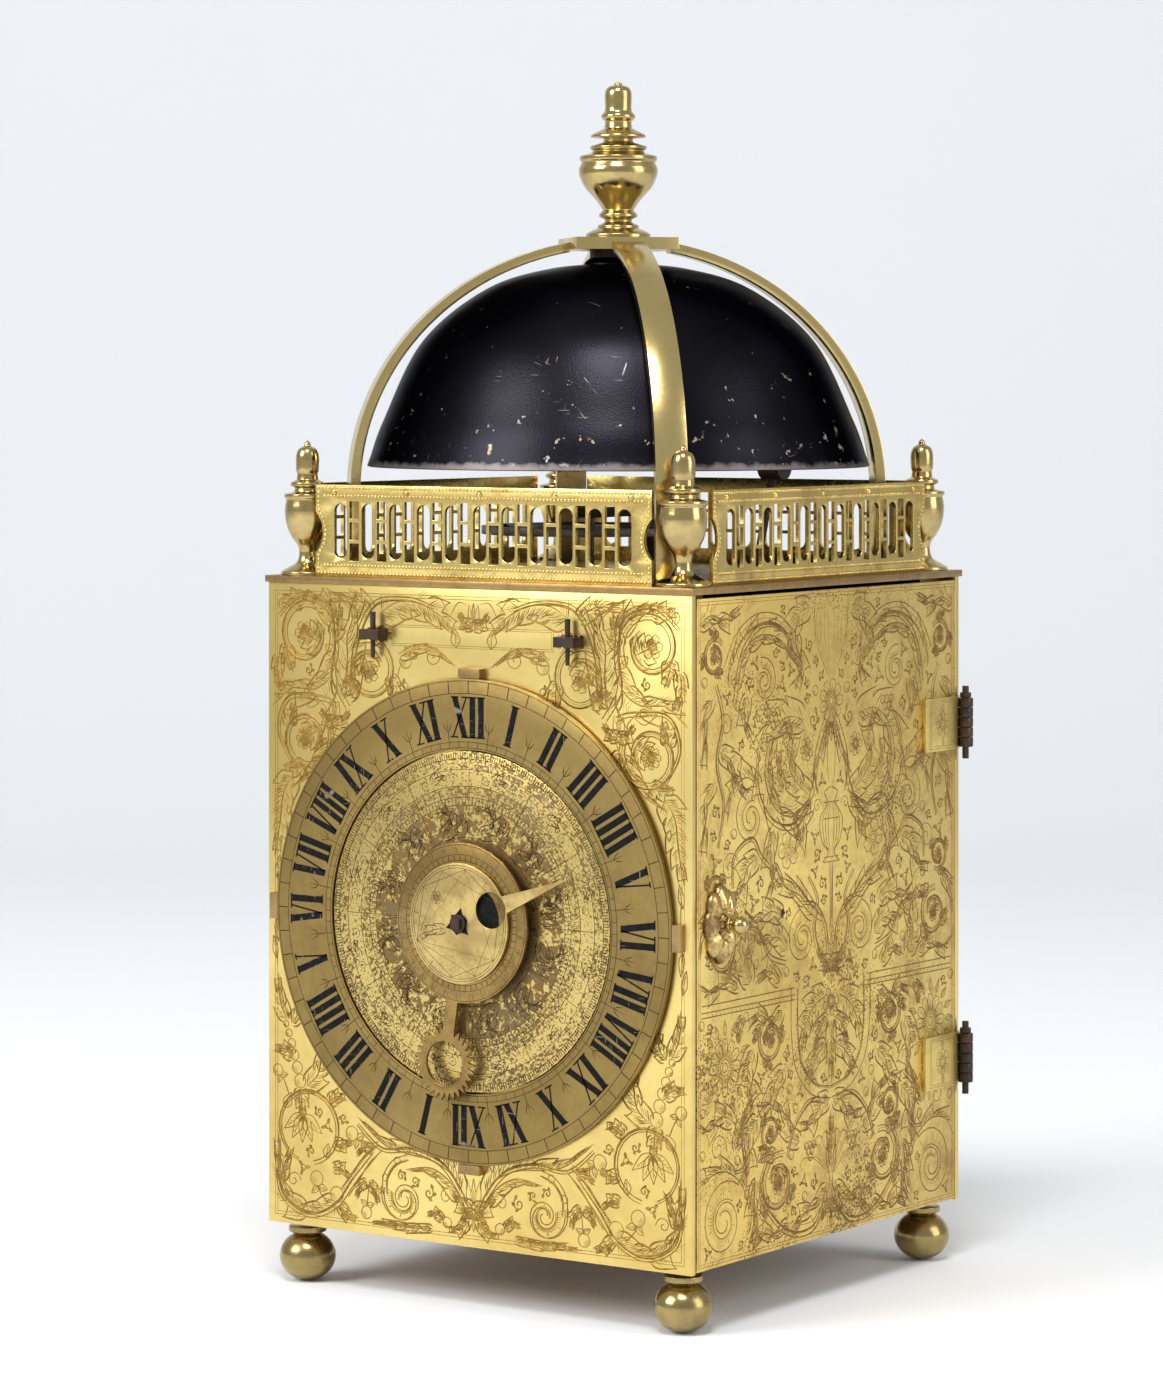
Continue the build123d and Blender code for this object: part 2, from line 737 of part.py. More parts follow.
def dial_wheel(index):
    wheel_n, pinion_n = DIAL_PAIRS[index]
    module = 2 * dial_centre_a / (wheel_n + pinion_n)
    layer = 3 - index
    phase = mesh_phase(drive_angle, pinion_n, drive_angle, wheel_n)
    outline = toothed(wheel_n, module, phase)
    outline = spoked(outline, wheel_n * module / 2 - 3.0, pipe_outer(3) + 2.0, 4, 4.0)
    outline -= Circle(pipe_outer(layer) - pipe_wall)
    y0 = wheel_y[index]
    return slab_y(outline, 0, dial_z, y0, y0 + dial_wheel_t)


def dial_drive_pinions():
    y0 = wheel_y[0] - 0.5
    drive = rod_y(dial_drive_x, drive_z, y0, movement_front_y - 0.3, arbor_r)
    for index, (wheel_n, pinion_n) in enumerate(DIAL_PAIRS):
        module = 2 * dial_centre_a / (wheel_n + pinion_n)
        outline = toothed(pinion_n, module, drive_angle)
        start = wheel_y[index] - 0.4
        drive += slab_y(outline, dial_drive_x, drive_z, start, start + dial_wheel_t + 0.8)
    return drive


# Movement frame
second_a = great_module * (great_n + leaf_n) / 2
third_a = second_module * (second_n + leaf_n) / 2
second_dz = math.sqrt(second_a ** 2 - second_dx ** 2)
third_dz = math.sqrt(third_a ** 2 - third_dx ** 2)
going_second = (dial_drive_x + second_dx, drive_z + second_dz)
crown_place = (going_second[0] + third_dx, going_second[1] + third_dz)
strike_second = (strike_x - second_dx, drive_z + second_dz)
fly_dx = 12.0
fly_place = (strike_second[0] - fly_dx, strike_second[1] + math.sqrt(third_a ** 2 - fly_dx ** 2))
barrel_z = drive_z - barrel_drop
count_a = count_module * (count_n + count_pinion_n) / 2
count_place = (strike_x, drive_z + count_a)
going_y = movement_inner_y + 5.5
strike_y = movement_back_y - 8.0


def pivots():
    """The place and radius of every hole in the movement plates."""
    holes = [(dial_drive_x, drive_z, arbor_r), (strike_x, drive_z, arbor_r),
             (dial_drive_x, barrel_z, arbor_r), (strike_x, barrel_z, arbor_r)]
    holes += [(*going_second, pivot_r), (*strike_second, pivot_r), (*fly_place, pivot_r),
              (hammer_x, hammer_z, pivot_r)]
    return holes


def front_movement():
    plate = block(-movement_w / 2, movement_w / 2, movement_front_y, movement_inner_y,
                  movement_z0, plate_top_z)
    for x, z, radius in pivots():
        plate -= rod_y(x, z, movement_front_y, movement_inner_y, radius + pivot_play)
    return plate


def back_movement():
    plate = block(-movement_w / 2, movement_w / 2, movement_back_y, movement_back_face,
                  movement_z0, plate_top_z)
    for x, z, radius in pivots() + [(*crown_place, pivot_r)]:
        plate -= rod_y(x, z, movement_back_y, movement_back_face, radius + pivot_play)
    for x in (dial_drive_x, strike_x):
        plate -= rod_y(x, drive_z, movement_back_y, movement_back_face, winding_r + pivot_play)
    return plate


def pivoted(place, radius):
    """An arbor between the movement plates, with a thin pivot in each."""
    x, z = place
    arbor = rod_y(x, z, movement_inner_y + shoulder_gap, movement_back_y - shoulder_gap, radius)
    return arbor + rod_y(x, z, movement_front_y + shoulder_gap, movement_back_face - shoulder_gap,
                         pivot_r)


def fusee(x, y_wheel, y_cone, direction, phase):
    """A great wheel with its cone, on an arbor that ends in a winding square."""
    outline = toothed(great_n, great_module, phase)
    outline = spoked(outline, great_n * great_module / 2 - 4.0, fusee_big_r - 3.0, 4, 5.0)
    wheel = slab_y(outline, x, drive_z, y_wheel, y_wheel + great_t)
    step = barrel_len / groove_count
    cone = None
    for k in range(groove_count):
        big = fusee_big_r + (fusee_small_r - fusee_big_r) * k / (groove_count - 1)
        y0 = y_cone + direction * k * step
        y1 = y0 + direction * step
        turn = rod_y(x, drive_z, min(y0, y1), max(y0, y1), big)
        cone = turn if cone is None else cone + turn
    body = wheel + cone
    body += rod_y(x, drive_z, movement_inner_y + shoulder_gap, movement_back_y + 0.1,
                  arbor_r + 0.5)
    body += rod_y(x, drive_z, movement_front_y - 0.3, movement_back_y + 0.1, arbor_r)
    body += rod_y(x, drive_z, movement_back_y, inner_back_y - 1.0, winding_r)
    square = slab_y(Rectangle(winding_r * 1.35, winding_r * 1.35), x, drive_z, inner_back_y - 1.0,
                    back_y + winding_out)
    return body + square


def going_fusee():
    return fusee(dial_drive_x, going_y, going_y + great_t, 1, great_phase)


def strike_fusee():
    body = fusee(strike_x, strike_y, strike_y, -1, great_phase)
    outline = toothed(count_pinion_n, count_module, math.pi / 2)
    y0 = movement_back_face + 3.0
    return body + slab_y(outline, strike_x, drive_z, y0, y0 + 3.0)


def spring_barrel(x, y0):
    drum = rod_y(x, barrel_z, y0, y0 + barrel_len, barrel_r)
    for y in (y0, y0 + barrel_len - 1.6):
        drum += rod_y(x, barrel_z, y, y + 1.6, barrel_r + 1.2)
    return drum - rod_y(x, barrel_z, y0, y0 + barrel_len, arbor_r + 0.5 + pivot_play)


def barrel_arbor(x):
    arbor = rod_y(x, barrel_z, movement_inner_y, movement_back_y, arbor_r + 0.5)
    return arbor + rod_y(x, barrel_z, movement_front_y, movement_back_face, arbor_r)


def going_second_wheel():
    x, z = going_second
    up = math.atan2(z - drive_z, x - dial_drive_x)
    leaf_phase = mesh_phase(great_phase, great_n, up, leaf_n)
    body = pivoted(going_second, second_arbor_r)
    leaves = toothed(leaf_n, great_module, leaf_phase)
    body += slab_y(leaves, x, z, going_y - leaf_over, going_y + great_t + leaf_over)
    wheel = spoked(toothed(second_n, second_module, leaf_phase), second_n * second_module / 2 - 3.5,
                   5.0, 4, 4.0)
    return body + slab_y(wheel, x, z, second_y, second_y + second_t)


verge_x, verge_y = verge_place()
crown_tip_y = verge_y + pallet_len + pallet_play
crown_back_y = crown_tip_y + crown_depth
second_y = crown_back_y + 6.0


def crown_wheel():
    x, z = crown_place
    up = math.atan2(z - going_second[1], x - going_second[0])
    first_up = math.atan2(going_second[1] - drive_z, going_second[0] - dial_drive_x)
    second_phase = mesh_phase(great_phase, great_n, first_up, leaf_n)
    phase = mesh_phase(second_phase, second_n, up, leaf_n)
    band = slab_y(Circle(crown_r) - Circle(crown_r - crown_wall), x, z, crown_tip_y, crown_back_y)
    step = 360.0 / crown_teeth
    for k in range(crown_teeth):
        turn = Rot(0, 0, k * step)
        gap = turn * (Pos(crown_r, 0) * Rectangle(4.0, math.radians(step) * crown_r * 0.62))
        band -= slab_y(gap, x, z, crown_tip_y - 0.1, crown_tip_y + 2.2)
    web = spoked(Circle(crown_r), crown_r - crown_wall - 0.5, 3.2, 4, 2.4)
    body = band + slab_y(web, x, z, crown_back_y - 1.2, crown_back_y)
    body += rod_y(x, z, crown_back_y - 1.2, movement_back_y - shoulder_gap, 1.4)
    body += rod_y(x, z, crown_tip_y + 1.2, movement_back_face - shoulder_gap, pivot_r)
    leaves = toothed(leaf_n, second_module, phase)
    return body + slab_y(leaves, x, z, second_y - leaf_over,
                         second_y + second_t + leaf_over)


verge_foot_z = crown_place[1] - crown_r - 4.5
verge_head_z = balance_z + balance_t + 5.0


def verge():
    staff = rod_z(verge_x, verge_y, verge_foot_z, verge_head_z, verge_r)
    for dz, angle in ((crown_r - 0.8, 40.0), (-crown_r + 0.8, 140.0)):
        flag = Pos(verge_x, verge_y, crown_place[1] + dz) * Rot(0, 0, angle) * Pos(
            pallet_len / 2, 0, 0) * Box(pallet_len, 0.8, 3.4)
        staff += flag
    staff += rod_z(verge_x, verge_y, balance_z - 1.0, balance_z, 3.0)
    return staff


def balance_wheel():
    plane = Plane(origin=(verge_x, verge_y, balance_z), x_dir=(1, 0, 0), z_dir=(0, 0, 1))
    rim = Circle(balance_r) - Circle(balance_r - balance_rim_w)
    arms = Rectangle(2 * balance_r - balance_rim_w, balance_arm_w) + Circle(balance_hub_r)
    return extrude(plane * (rim + arms - Circle(verge_r)), amount=balance_t)


def balance_cock():
    arm_z = balance_z + balance_t + 2.4
    foot_y = verge_y + balance_r + cock_reach
    foot = block(verge_x - cock_half_w, verge_x + cock_half_w, foot_y - 4, foot_y + 4, gallery_z, arm_z)
    arm = block(verge_x - cock_arm_half_w, verge_x + cock_arm_half_w, verge_y - cock_arm_half_w,
                foot_y + 4, arm_z, arm_z + cock_arm_t)
    arm -= rod_z(verge_x, verge_y, arm_z, arm_z + cock_arm_t, verge_r + pivot_play)
    return foot + arm


def potence():
    foot_z = verge_foot_z - 0.2
    back = block(verge_x - 2.5, verge_x + 2.5, verge_y - 8.0, verge_y - 4.6, foot_z - 2.6,
                 plate_top_z)
    shelf = block(verge_x - 2.5, verge_x + 2.5, verge_y - 8.0, verge_y + 1.8, foot_z - 2.6, foot_z)
    pivot_z = crown_place[1]
    nose_x = verge_x + verge_r + pallet_len - 1.2
    nose = block(nose_x, nose_x + 3.2, verge_y - 4.6, crown_tip_y + 1.0, pivot_z - 2.5,
                 pivot_z + 2.5)
    neck = block(verge_x, nose_x + 3.2, verge_y - 6.0, verge_y - 4.6, pivot_z - 2.5, pivot_z + 2.5)
    tip = block(verge_x - 2.4, nose_x + 3.2, crown_tip_y + 1.0, crown_tip_y + 3.0, pivot_z - 2.5,
                pivot_z + 2.5)
    tip -= rod_y(verge_x, pivot_z, crown_tip_y + 0.9, crown_tip_y + 3.1, pivot_r + pivot_play)
    return back + shelf + nose + neck + tip


pin_wheel_y = -12.0


def pin_wheel():
    x, z = strike_second
    up = math.atan2(z - drive_z, x - strike_x)
    leaf_phase = mesh_phase(great_phase, great_n, up, leaf_n)
    body = pivoted(strike_second, second_arbor_r)
    leaves = toothed(leaf_n, great_module, leaf_phase)
    body += slab_y(leaves, x, z, strike_y - leaf_over, strike_y + great_t + leaf_over)
    wheel = spoked(toothed(second_n, second_module, leaf_phase), 17.0, 5.0, 4, 4.0)
    body += slab_y(wheel, x, z, pin_wheel_y, pin_wheel_y + second_t)
    pins = []
    for k in range(pin_count):
        px, pz = polar(pin_circle_r, 2 * math.pi * (k + 0.5) / pin_count)
        pins.append(rod_y(x + px, z + pz, pin_wheel_y - strike_pin_len, pin_wheel_y, pin_r))
    return Compound(body.solids() + [pin.solid() for pin in pins])


def fly():
    x, z = fly_place
    up = math.atan2(z - strike_second[1], x - strike_second[0])
    first_up = math.atan2(strike_second[1] - drive_z, strike_second[0] - strike_x)
    second_phase = mesh_phase(great_phase, great_n, first_up, leaf_n)
    phase = mesh_phase(second_phase, second_n, up, leaf_n)
    body = pivoted(fly_place, fly_arbor_r)
    body += slab_y(toothed(leaf_n, second_module, phase), x, z, pin_wheel_y - 0.6,
                   pin_wheel_y + second_t + 0.6)
    blade_y = movement_inner_y + 8.0
    return body + block(x - fly_r, x + fly_r, blade_y, blade_y + fly_len, z - 0.4, z + 0.4)


def count_wheel():
    x, z = count_place
    phase = mesh_phase(math.pi / 2, count_pinion_n, math.pi / 2, count_n)
    outline = toothed(count_n, count_module, phase) - Circle(count_post_r + pivot_play)
    y0 = movement_back_face + 3.6
    body = slab_y(outline, x, z, y0, y0 + count_wheel_t)
    disc = Circle(count_disc_r) - Circle(count_post_r + pivot_play)
    blows = 0
    for hour in range(1, 13):
        blows += hour
        turn = 2 * math.pi * blows / strike_blows
        notch = Rot(0, 0, math.degrees(turn)) * Rectangle(3.0, count_notch_w)
        disc -= Pos(*polar(count_disc_r, turn)) * notch
    return body + slab_y(disc, x, z, y0 + count_wheel_t, y0 + 2 * count_wheel_t)


def count_wheel_post():
    x, z = count_place
    y0 = movement_back_face
    post = rod_y(x, z, y0, y0 + 9.0, count_post_r)
    return post + rod_y(x, z, y0, y0 + 3.3, 3.6) + rod_y(x, z, y0 + 7.5, y0 + 9.0, 3.4)


# Write every piece
os.makedirs("parts", exist_ok=True)

save("base_plate", base_plate())
save("corner_posts", Compound([corner_post(sx, sy) for sx, sy in CORNERS]))
save("ball_feet", Compound([ball_foot(sx, sy) for sx, sy in CORNERS]))
save("top_plate", top_plate())
save("front_plate", front_plate())
save("back_plate", back_plate())

for side_name, side in (("left", -1), ("right", 1)):
    save(f"{side_name}_door", door(side))
    save(f"{side_name}_door_hinge_leaves", Compound([door_hinge_leaf(side, z) for z in hinge_zs]))
    save(f"{side_name}_latch_escutcheon", latch_escutcheon(side))
    save(f"{side_name}_latch_knob", latch_knob(side))
    save(f"{side_name}_taper_pin", taper_pin(side))

save("fixed_hinge_leaves", Compound([fixed_hinge_leaf(s, z) for s in (-1, 1) for z in hinge_zs]))
save("hinge_pins", Compound([hinge_pin(s, z) for s in (-1, 1) for z in hinge_zs]))
save("front_plate_studs", Compound([front_plate_stud(s) for s in (-1, 1)]))

fret_y = case_d / 2 - fret_set
fret_x = case_w / 2 - fret_set
save("front_gallery_fret", Pos(0, -fret_y, 0) * fret(front_fret_len))
save("back_gallery_fret", Pos(0, fret_y, 0) * fret(front_fret_len))
save("left_gallery_fret", Pos(-fret_x, 0, 0) * Rot(0, 0, 90) * fret(side_fret_len))
save("right_gallery_fret", Pos(fret_x, 0, 0) * Rot(0, 0, 90) * fret(side_fret_len))
save("corner_finials", Compound([corner_finial(sx, sy) for sx, sy in CORNERS]))

STRAPS = {"front_left": (-1, -1), "front_right": (1, -1), "back_left": (-1, 1), "back_right": (1, 1)}
for strap_name, (sx, sy) in STRAPS.items():
    save(f"{strap_name}_bell_strap", bell_strap(sx, sy))
save("strap_crown", strap_crown())
save("main_finial", main_finial())
save("bell", bell())
save("bell_stud", bell_stud())
save("hammer", hammer())

save("chapter_ring", chapter_ring())
save("chapter_ring_lugs", Compound([ring_lug(d) for d in (0, 90, 180, 270)]))
save("calendar_disc", calendar_disc())
save("sun_hand", sun_hand())
save("moon_disc", moon_disc())
save("centre_arbor", centre_arbor())
save("calendar_wheel", dial_wheel(0))
save("sun_wheel", dial_wheel(1))
save("moon_wheel", dial_wheel(2))
save("dial_drive_pinions", dial_drive_pinions())

save("movement_front_plate", front_movement())
save("movement_back_plate", back_movement())
save("going_fusee", going_fusee())
save("going_barrel", spring_barrel(dial_drive_x, going_y + great_t + 1.0))
save("going_second_wheel", going_second_wheel())
save("crown_wheel", crown_wheel())
save("verge", verge())
save("balance_wheel", balance_wheel())
save("balance_cock", balance_cock())
save("potence", potence())
save("strike_fusee", strike_fusee())
save("strike_barrel", spring_barrel(strike_x, strike_y - barrel_len - 1.0))
save("barrel_arbors", Compound([barrel_arbor(x) for x in (dial_drive_x, strike_x)]))
save("pin_wheel", pin_wheel())
save("fly", fly())
save("count_wheel", count_wheel())
save("count_wheel_post", count_wheel_post())
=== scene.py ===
import math

import bmesh
import bpy
from mathutils import Matrix, Vector


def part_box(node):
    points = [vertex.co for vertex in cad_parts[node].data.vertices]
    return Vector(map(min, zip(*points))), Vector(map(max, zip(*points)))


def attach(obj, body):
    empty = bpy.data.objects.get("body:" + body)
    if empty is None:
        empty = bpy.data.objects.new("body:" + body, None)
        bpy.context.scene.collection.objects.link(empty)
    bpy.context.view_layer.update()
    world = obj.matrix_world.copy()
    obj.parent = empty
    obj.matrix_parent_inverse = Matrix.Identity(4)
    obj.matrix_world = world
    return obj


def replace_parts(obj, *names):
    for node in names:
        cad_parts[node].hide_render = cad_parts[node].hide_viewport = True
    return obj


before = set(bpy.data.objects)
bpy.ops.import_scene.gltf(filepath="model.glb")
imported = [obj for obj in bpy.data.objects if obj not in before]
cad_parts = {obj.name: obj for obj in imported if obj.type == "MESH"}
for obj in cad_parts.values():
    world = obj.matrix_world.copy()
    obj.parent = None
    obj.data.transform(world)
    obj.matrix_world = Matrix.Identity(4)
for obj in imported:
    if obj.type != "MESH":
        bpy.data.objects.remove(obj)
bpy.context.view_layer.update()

bl_info = {
    "name": "Astronomical Table Clock",
    "version": (1, 0, 0),
    "blender": (4, 5, 0),
    "location": "3D View > Sidebar > Table Clock",
    "description": "Dresses the packed table clock with engraved, turned and cast pieces",
    "category": "Object",
}

MM = 0.001


# Places read from the frame, in millimetres
def edges(node):
    """The lowest and highest corners of a node, in millimetres."""
    low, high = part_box(node)
    return [v / MM for v in low], [v / MM for v in high]


FRONT_LOW, FRONT_HIGH = edges("front_plate")
DOOR_LOW, DOOR_HIGH = edges("right_door")
RING_LOW, RING_HIGH = edges("chapter_ring")
FRET_LOW, FRET_HIGH = edges("front_gallery_fret")
SIDE_FRET_HIGH = edges("right_gallery_fret")[1]
BELL_LOW, BELL_HIGH = edges("bell")
FINIAL_LOW, FINIAL_HIGH = edges("main_finial")
FEET_LOW, FEET_HIGH = edges("ball_feet")

CASE_HALF = FRONT_HIGH[0]
FRONT_Y = FRONT_LOW[1]
BACK_Y = edges("back_plate")[1][1]
CALENDAR_Y = edges("calendar_disc")[0][1]
MOON_AGE_Y = -80.0
MOON_Y = -81.4
PLATE_LOW_Z, PLATE_HIGH_Z = FRONT_LOW[2], FRONT_HIGH[2]
TOP_Z = edges("top_plate")[1][2]
CORNER_TIP_Z = edges("corner_finials")[1][2]
CROWN_FOOT_Z = edges("strap_crown")[0][2]
DIAL_Z = (RING_LOW[2] + RING_HIGH[2]) / 2
CORNER_X, CORNER_Y = 66.8, 65.8

# Hinge leaves and latch bosses, as places on a door seen from its side
HINGE_ZS = (61.2, 163.2)
LEAF_X = DOOR_HIGH[0] + 1.2
LEAF_NEAR_Y, LEAF_FAR_Y = 54.2, 70.6
LEAF_HALF_Z = 8.0
BOSS_Y, BOSS_Z = 58.0, 114.8
KNUCKLE_X, KNUCKLE_Y = 75.7, 71.3

# Radii of the dial's circles: tracks of the ring, circles of the calendar and of the moon's age
QUARTER_IN, QUARTER_OUT = 49.9, 51.6
MINUTE_IN, MINUTE_OUT = 65.5, 69.1
CALENDAR_RINGS = (46.7, 43.7, 38.9, 35.7, 33.5, 24.2)
MOON_AGE_RINGS = (17.9, 19.6, 22.4)
MOON_RINGS = (16.6, 15.9)
POINTER_TURN = math.radians(68.5)
MOON_WINDOW_R, MOON_WINDOW_OFF = 11.2, 2.2

# Heights at which a door's drawings meet
DOOR_UPPER_Z, DOOR_LOWER_Z = 127.0, 60.0


# Shader helpers
class Tree:
    """A node tree that is being built."""

    def __init__(self, tree):
        self.tree = tree

    def add(self, kind, settings=None, **values):
        """A new node with its settings and the values or sockets for its inputs."""
        node = self.tree.nodes.new(kind)
        for name, value in (settings or {}).items():
            setattr(node, name, value)
        for name, value in values.items():
            self.put(node, name.replace("_", " "), value)
        return node

    def put(self, node, name, value):
        """Links a socket to a node's input, or gives the input a value."""
        socket = node.inputs[name]
        if isinstance(value, bpy.types.NodeSocket):
            self.tree.links.new(value, socket)
        else:
            socket.default_value = value

    def math(self, operation, first, second=0.5):
        """A sum on two values."""
        node = self.add("ShaderNodeMath", {"operation": operation})
        self.put(node, 0, first)
        self.put(node, 1, second)
        return node.outputs[0]

    def times(self, first, second):
        return self.math("MULTIPLY", first, second)

    def plus(self, first, second):
        return self.math("ADD", first, second)

    def mix(self, factor, first, second):
        """A blend of two colours."""
        node = self.add("ShaderNodeMix", {"data_type": "RGBA"})
        for index, value in ((0, factor), (6, first), (7, second)):
            self.put(node, index, value)
        return node.outputs[2]

    def steps(self, value, low, high, out_low=0.0, out_high=1.0):
        """A value carried from one range to another."""
        node = self.add("ShaderNodeMapRange", Value=value, From_Min=low, From_Max=high,
                        To_Min=out_low, To_Max=out_high)
        return node.outputs["Result"]

    def noise(self, vector, scale, detail, roughness=0.5):
        """An uneven value that changes over space."""
        node = self.add("ShaderNodeTexNoise", Vector=vector, Scale=scale, Detail=detail,
                        Roughness=roughness)
        return node.outputs["Fac"]


def add_inputs(group, inputs):
    """Gives a node group its named inputs, each of the kind of its name or default."""
    for name, default in inputs.items():
        number = "Int" if isinstance(default, int) else "Float"
        kind = name if name in ("Vector", "Material") else number
        socket = group.interface.new_socket(name=name, in_out="INPUT",
                                            socket_type="NodeSocket" + kind)
        if default is not None:
            socket.default_value = default


def new_group(name, **inputs):
    """An empty shader group that gives a mask."""
    group = bpy.data.node_groups.new(name, "ShaderNodeTree")
    add_inputs(group, inputs)
    group.interface.new_socket(name="Mask", in_out="OUTPUT", socket_type="NodeSocketFloat")
    return group, Tree(group), group.nodes.new("NodeGroupInput"), group.nodes.new("NodeGroupOutput")


def tarnish_group():
    """Cloudy brown tarnish with finer blotches inside it."""
    group, tree, given, out = new_group("Tarnish", Vector=None, Scale=40.0, Low=0.45, High=0.65)
    broad = tree.noise(given.outputs["Vector"], given.outputs["Scale"], 6.0, 0.62)
    fine_scale = tree.times(given.outputs["Scale"], 7.0)
    fine = tree.noise(given.outputs["Vector"], fine_scale, 4.0, 0.7)
    both = tree.plus(tree.times(broad, 0.68),
                     tree.times(fine, 0.32))
    tree.put(out, "Mask", tree.steps(both, given.outputs["Low"], given.outputs["High"]))
    return group


def pits_group():
    """Small dark pits that gather where a broad cloud is dense."""
    group, tree, given, out = new_group("Pits", Vector=None, Scale=900.0, Size=0.2, Gathering=30.0)
    cells = tree.add("ShaderNodeTexVoronoi", Vector=given.outputs["Vector"],
                     Scale=given.outputs["Scale"])
    cloud = tree.noise(given.outputs["Vector"], given.outputs["Gathering"], 3.0)
    reach = tree.times(tree.steps(cloud, 0.42, 0.68), given.outputs["Size"])
    near = tree.math("SUBTRACT", reach, cells.outputs["Distance"])
    tree.put(out, "Mask", tree.steps(near, 0.0, 0.06))
    return group


def scratches_group():
    """Fine scratches that run at several angles."""
    group, tree, given, out = new_group("Scratches", Vector=None, Scale=60.0, Cover=0.5)
    total = None
    for turn, stretch in ((0.3, (1.0, 22.0, 1.0)), (1.25, (18.0, 1.0, 2.0)),
                          (2.2, (1.0, 3.0, 24.0))):
        place = tree.add("ShaderNodeMapping", Vector=given.outputs["Vector"],
                         Rotation=(turn, turn * 1.7, turn), Scale=stretch)
        lines = tree.noise(place.outputs["Vector"], given.outputs["Scale"], 2.0)
        sharp = tree.steps(lines, 0.69, 0.72)
        total = sharp if total is None else tree.math("MAXIMUM", total, sharp)
    cloud = tree.noise(given.outputs["Vector"], 25.0, 2.0)
    there = tree.math("GREATER_THAN", cloud, given.outputs["Cover"])
    tree.put(out, "Mask", tree.times(total, there))
    return group


MADE = {}


def made(maker, *values):
    """What a maker gives for some values, made the first time that it is asked for."""
    if (maker, values) not in MADE:
        MADE[maker, values] = maker(*values)
    return MADE[maker, values]


def effect(tree, maker, **values):
    """The mask of a shared effect, placed in a material with its own values."""
    node = tree.add("ShaderNodeGroup", {"node_tree": made(maker)}, **values)
    return node.outputs["Mask"]


def new_material(name, roughness, metallic=1.0):
    """A material with its tree, its shader and the object's own coordinates."""
    material = bpy.data.materials.new(name)
    material.use_nodes = True
    tree = Tree(material.node_tree)
    shader = material.node_tree.nodes["Principled BSDF"]
    shader.inputs["Specular IOR Level"].default_value = 0.5 if metallic else 0.25
    shader.inputs["Metallic"].default_value = metallic
    shader.inputs["Roughness"].default_value = roughness
    coords = tree.add("ShaderNodeTexCoord").outputs["Object"]
    return material, tree, shader, coords


def bump(tree, shader, height, strength, distance):
    """Gives a shader the relief of a height."""
    node = tree.add("ShaderNodeBump", Height=height, Strength=strength, Distance=distance)
    tree.put(shader, "Normal", node.outputs["Normal"])


def colour(red, green, blue):
    """A colour with its alpha."""
    return (red, green, blue, 1.0)


def aged_brass(name, bright, brown, cloud, low, high, pits, rough, grain, amount):
    """Gilt or plain brass with tarnish clouds, pits and a fine grain."""
    material, tree, shader, coords = new_material(name, rough[0])
    mask = effect(tree, tarnish_group, Vector=coords, Scale=cloud, Low=low, High=high)
    mask = tree.times(mask, amount)
    wide = tree.noise(coords, 12.0, 3.0)
    tone = tree.mix(tree.steps(wide, 0.35, 0.65), colour(*bright),
                    colour(bright[0] * 0.88, bright[1] * 0.84, bright[2] * 0.78))
    base = tree.mix(mask, tone, colour(*brown))
    if pits:
        spots = effect(tree, pits_group, Vector=coords, Scale=950.0, Size=pits, Gathering=26.0)
        base = tree.mix(tree.times(spots, 0.75), base,
                        colour(brown[0] * 0.35, brown[1] * 0.32, brown[2] * 0.32))
        mask = tree.math("MAXIMUM", mask, tree.times(spots, 0.8))
    tree.put(shader, "Base Color", base)
    tree.put(shader, "Roughness", tree.steps(mask, 0.0, 1.0, *rough))
    bump(tree, shader, tree.noise(coords, 700.0, 5.0), grain, 0.0004)
    return material


def bell_paint():
    """Old black paint on the bell, scratched and chipped to bare metal near the rim."""
    material, tree, shader, coords = new_material("Black bell paint", 0.3, 1.0)
    shader.inputs["Specular Tint"].default_value = colour(0.32, 0.32, 0.34)
    cloud = tree.noise(coords, 18.0, 5.0)
    paint = tree.mix(tree.steps(cloud, 0.35, 0.7), colour(0.009, 0.0087, 0.0112),
                     colour(0.019, 0.0182, 0.0228))
    scratch = effect(tree, scratches_group, Vector=coords, Scale=70.0, Cover=0.62)
    place = tree.add("ShaderNodeSeparateXYZ", Vector=coords)
    rim_z = BELL_LOW[2] * MM
    edge_noise = tree.noise(coords, 260.0, 4.0)
    height = tree.plus(place.outputs["Z"], tree.times(edge_noise, -0.0034))
    rim = tree.steps(height, rim_z + 0.0006, rim_z - 0.0008)
    chips = tree.noise(coords, 270.0, 6.0, 0.62)
    low_part = tree.steps(place.outputs["Z"], rim_z + 0.03, rim_z + 0.004)
    chip_level = tree.plus(chips, tree.times(low_part, 0.055))
    chip = tree.steps(chip_level, 0.686, 0.70)
    wear = tree.math("MAXIMUM", tree.times(scratch, 0.4), chip)
    worn = tree.mix(tree.steps(edge_noise, 0.45, 0.55), colour(0.30, 0.23, 0.15),
                    colour(0.34, 0.33, 0.33))
    base = tree.mix(wear, paint, worn)
    base = tree.mix(rim, base, colour(0.17, 0.15, 0.14))
    tree.put(shader, "Base Color", base)
    bare = tree.math("MAXIMUM", wear, rim)
    tree.put(shader, "Roughness", tree.steps(bare, 0.0, 1.0, 0.29, 0.48))
    speck = tree.noise(coords, 1900.0, 3.0)
    bump(tree, shader, tree.math("SUBTRACT", speck, wear), 0.3, 0.0002)
    return material


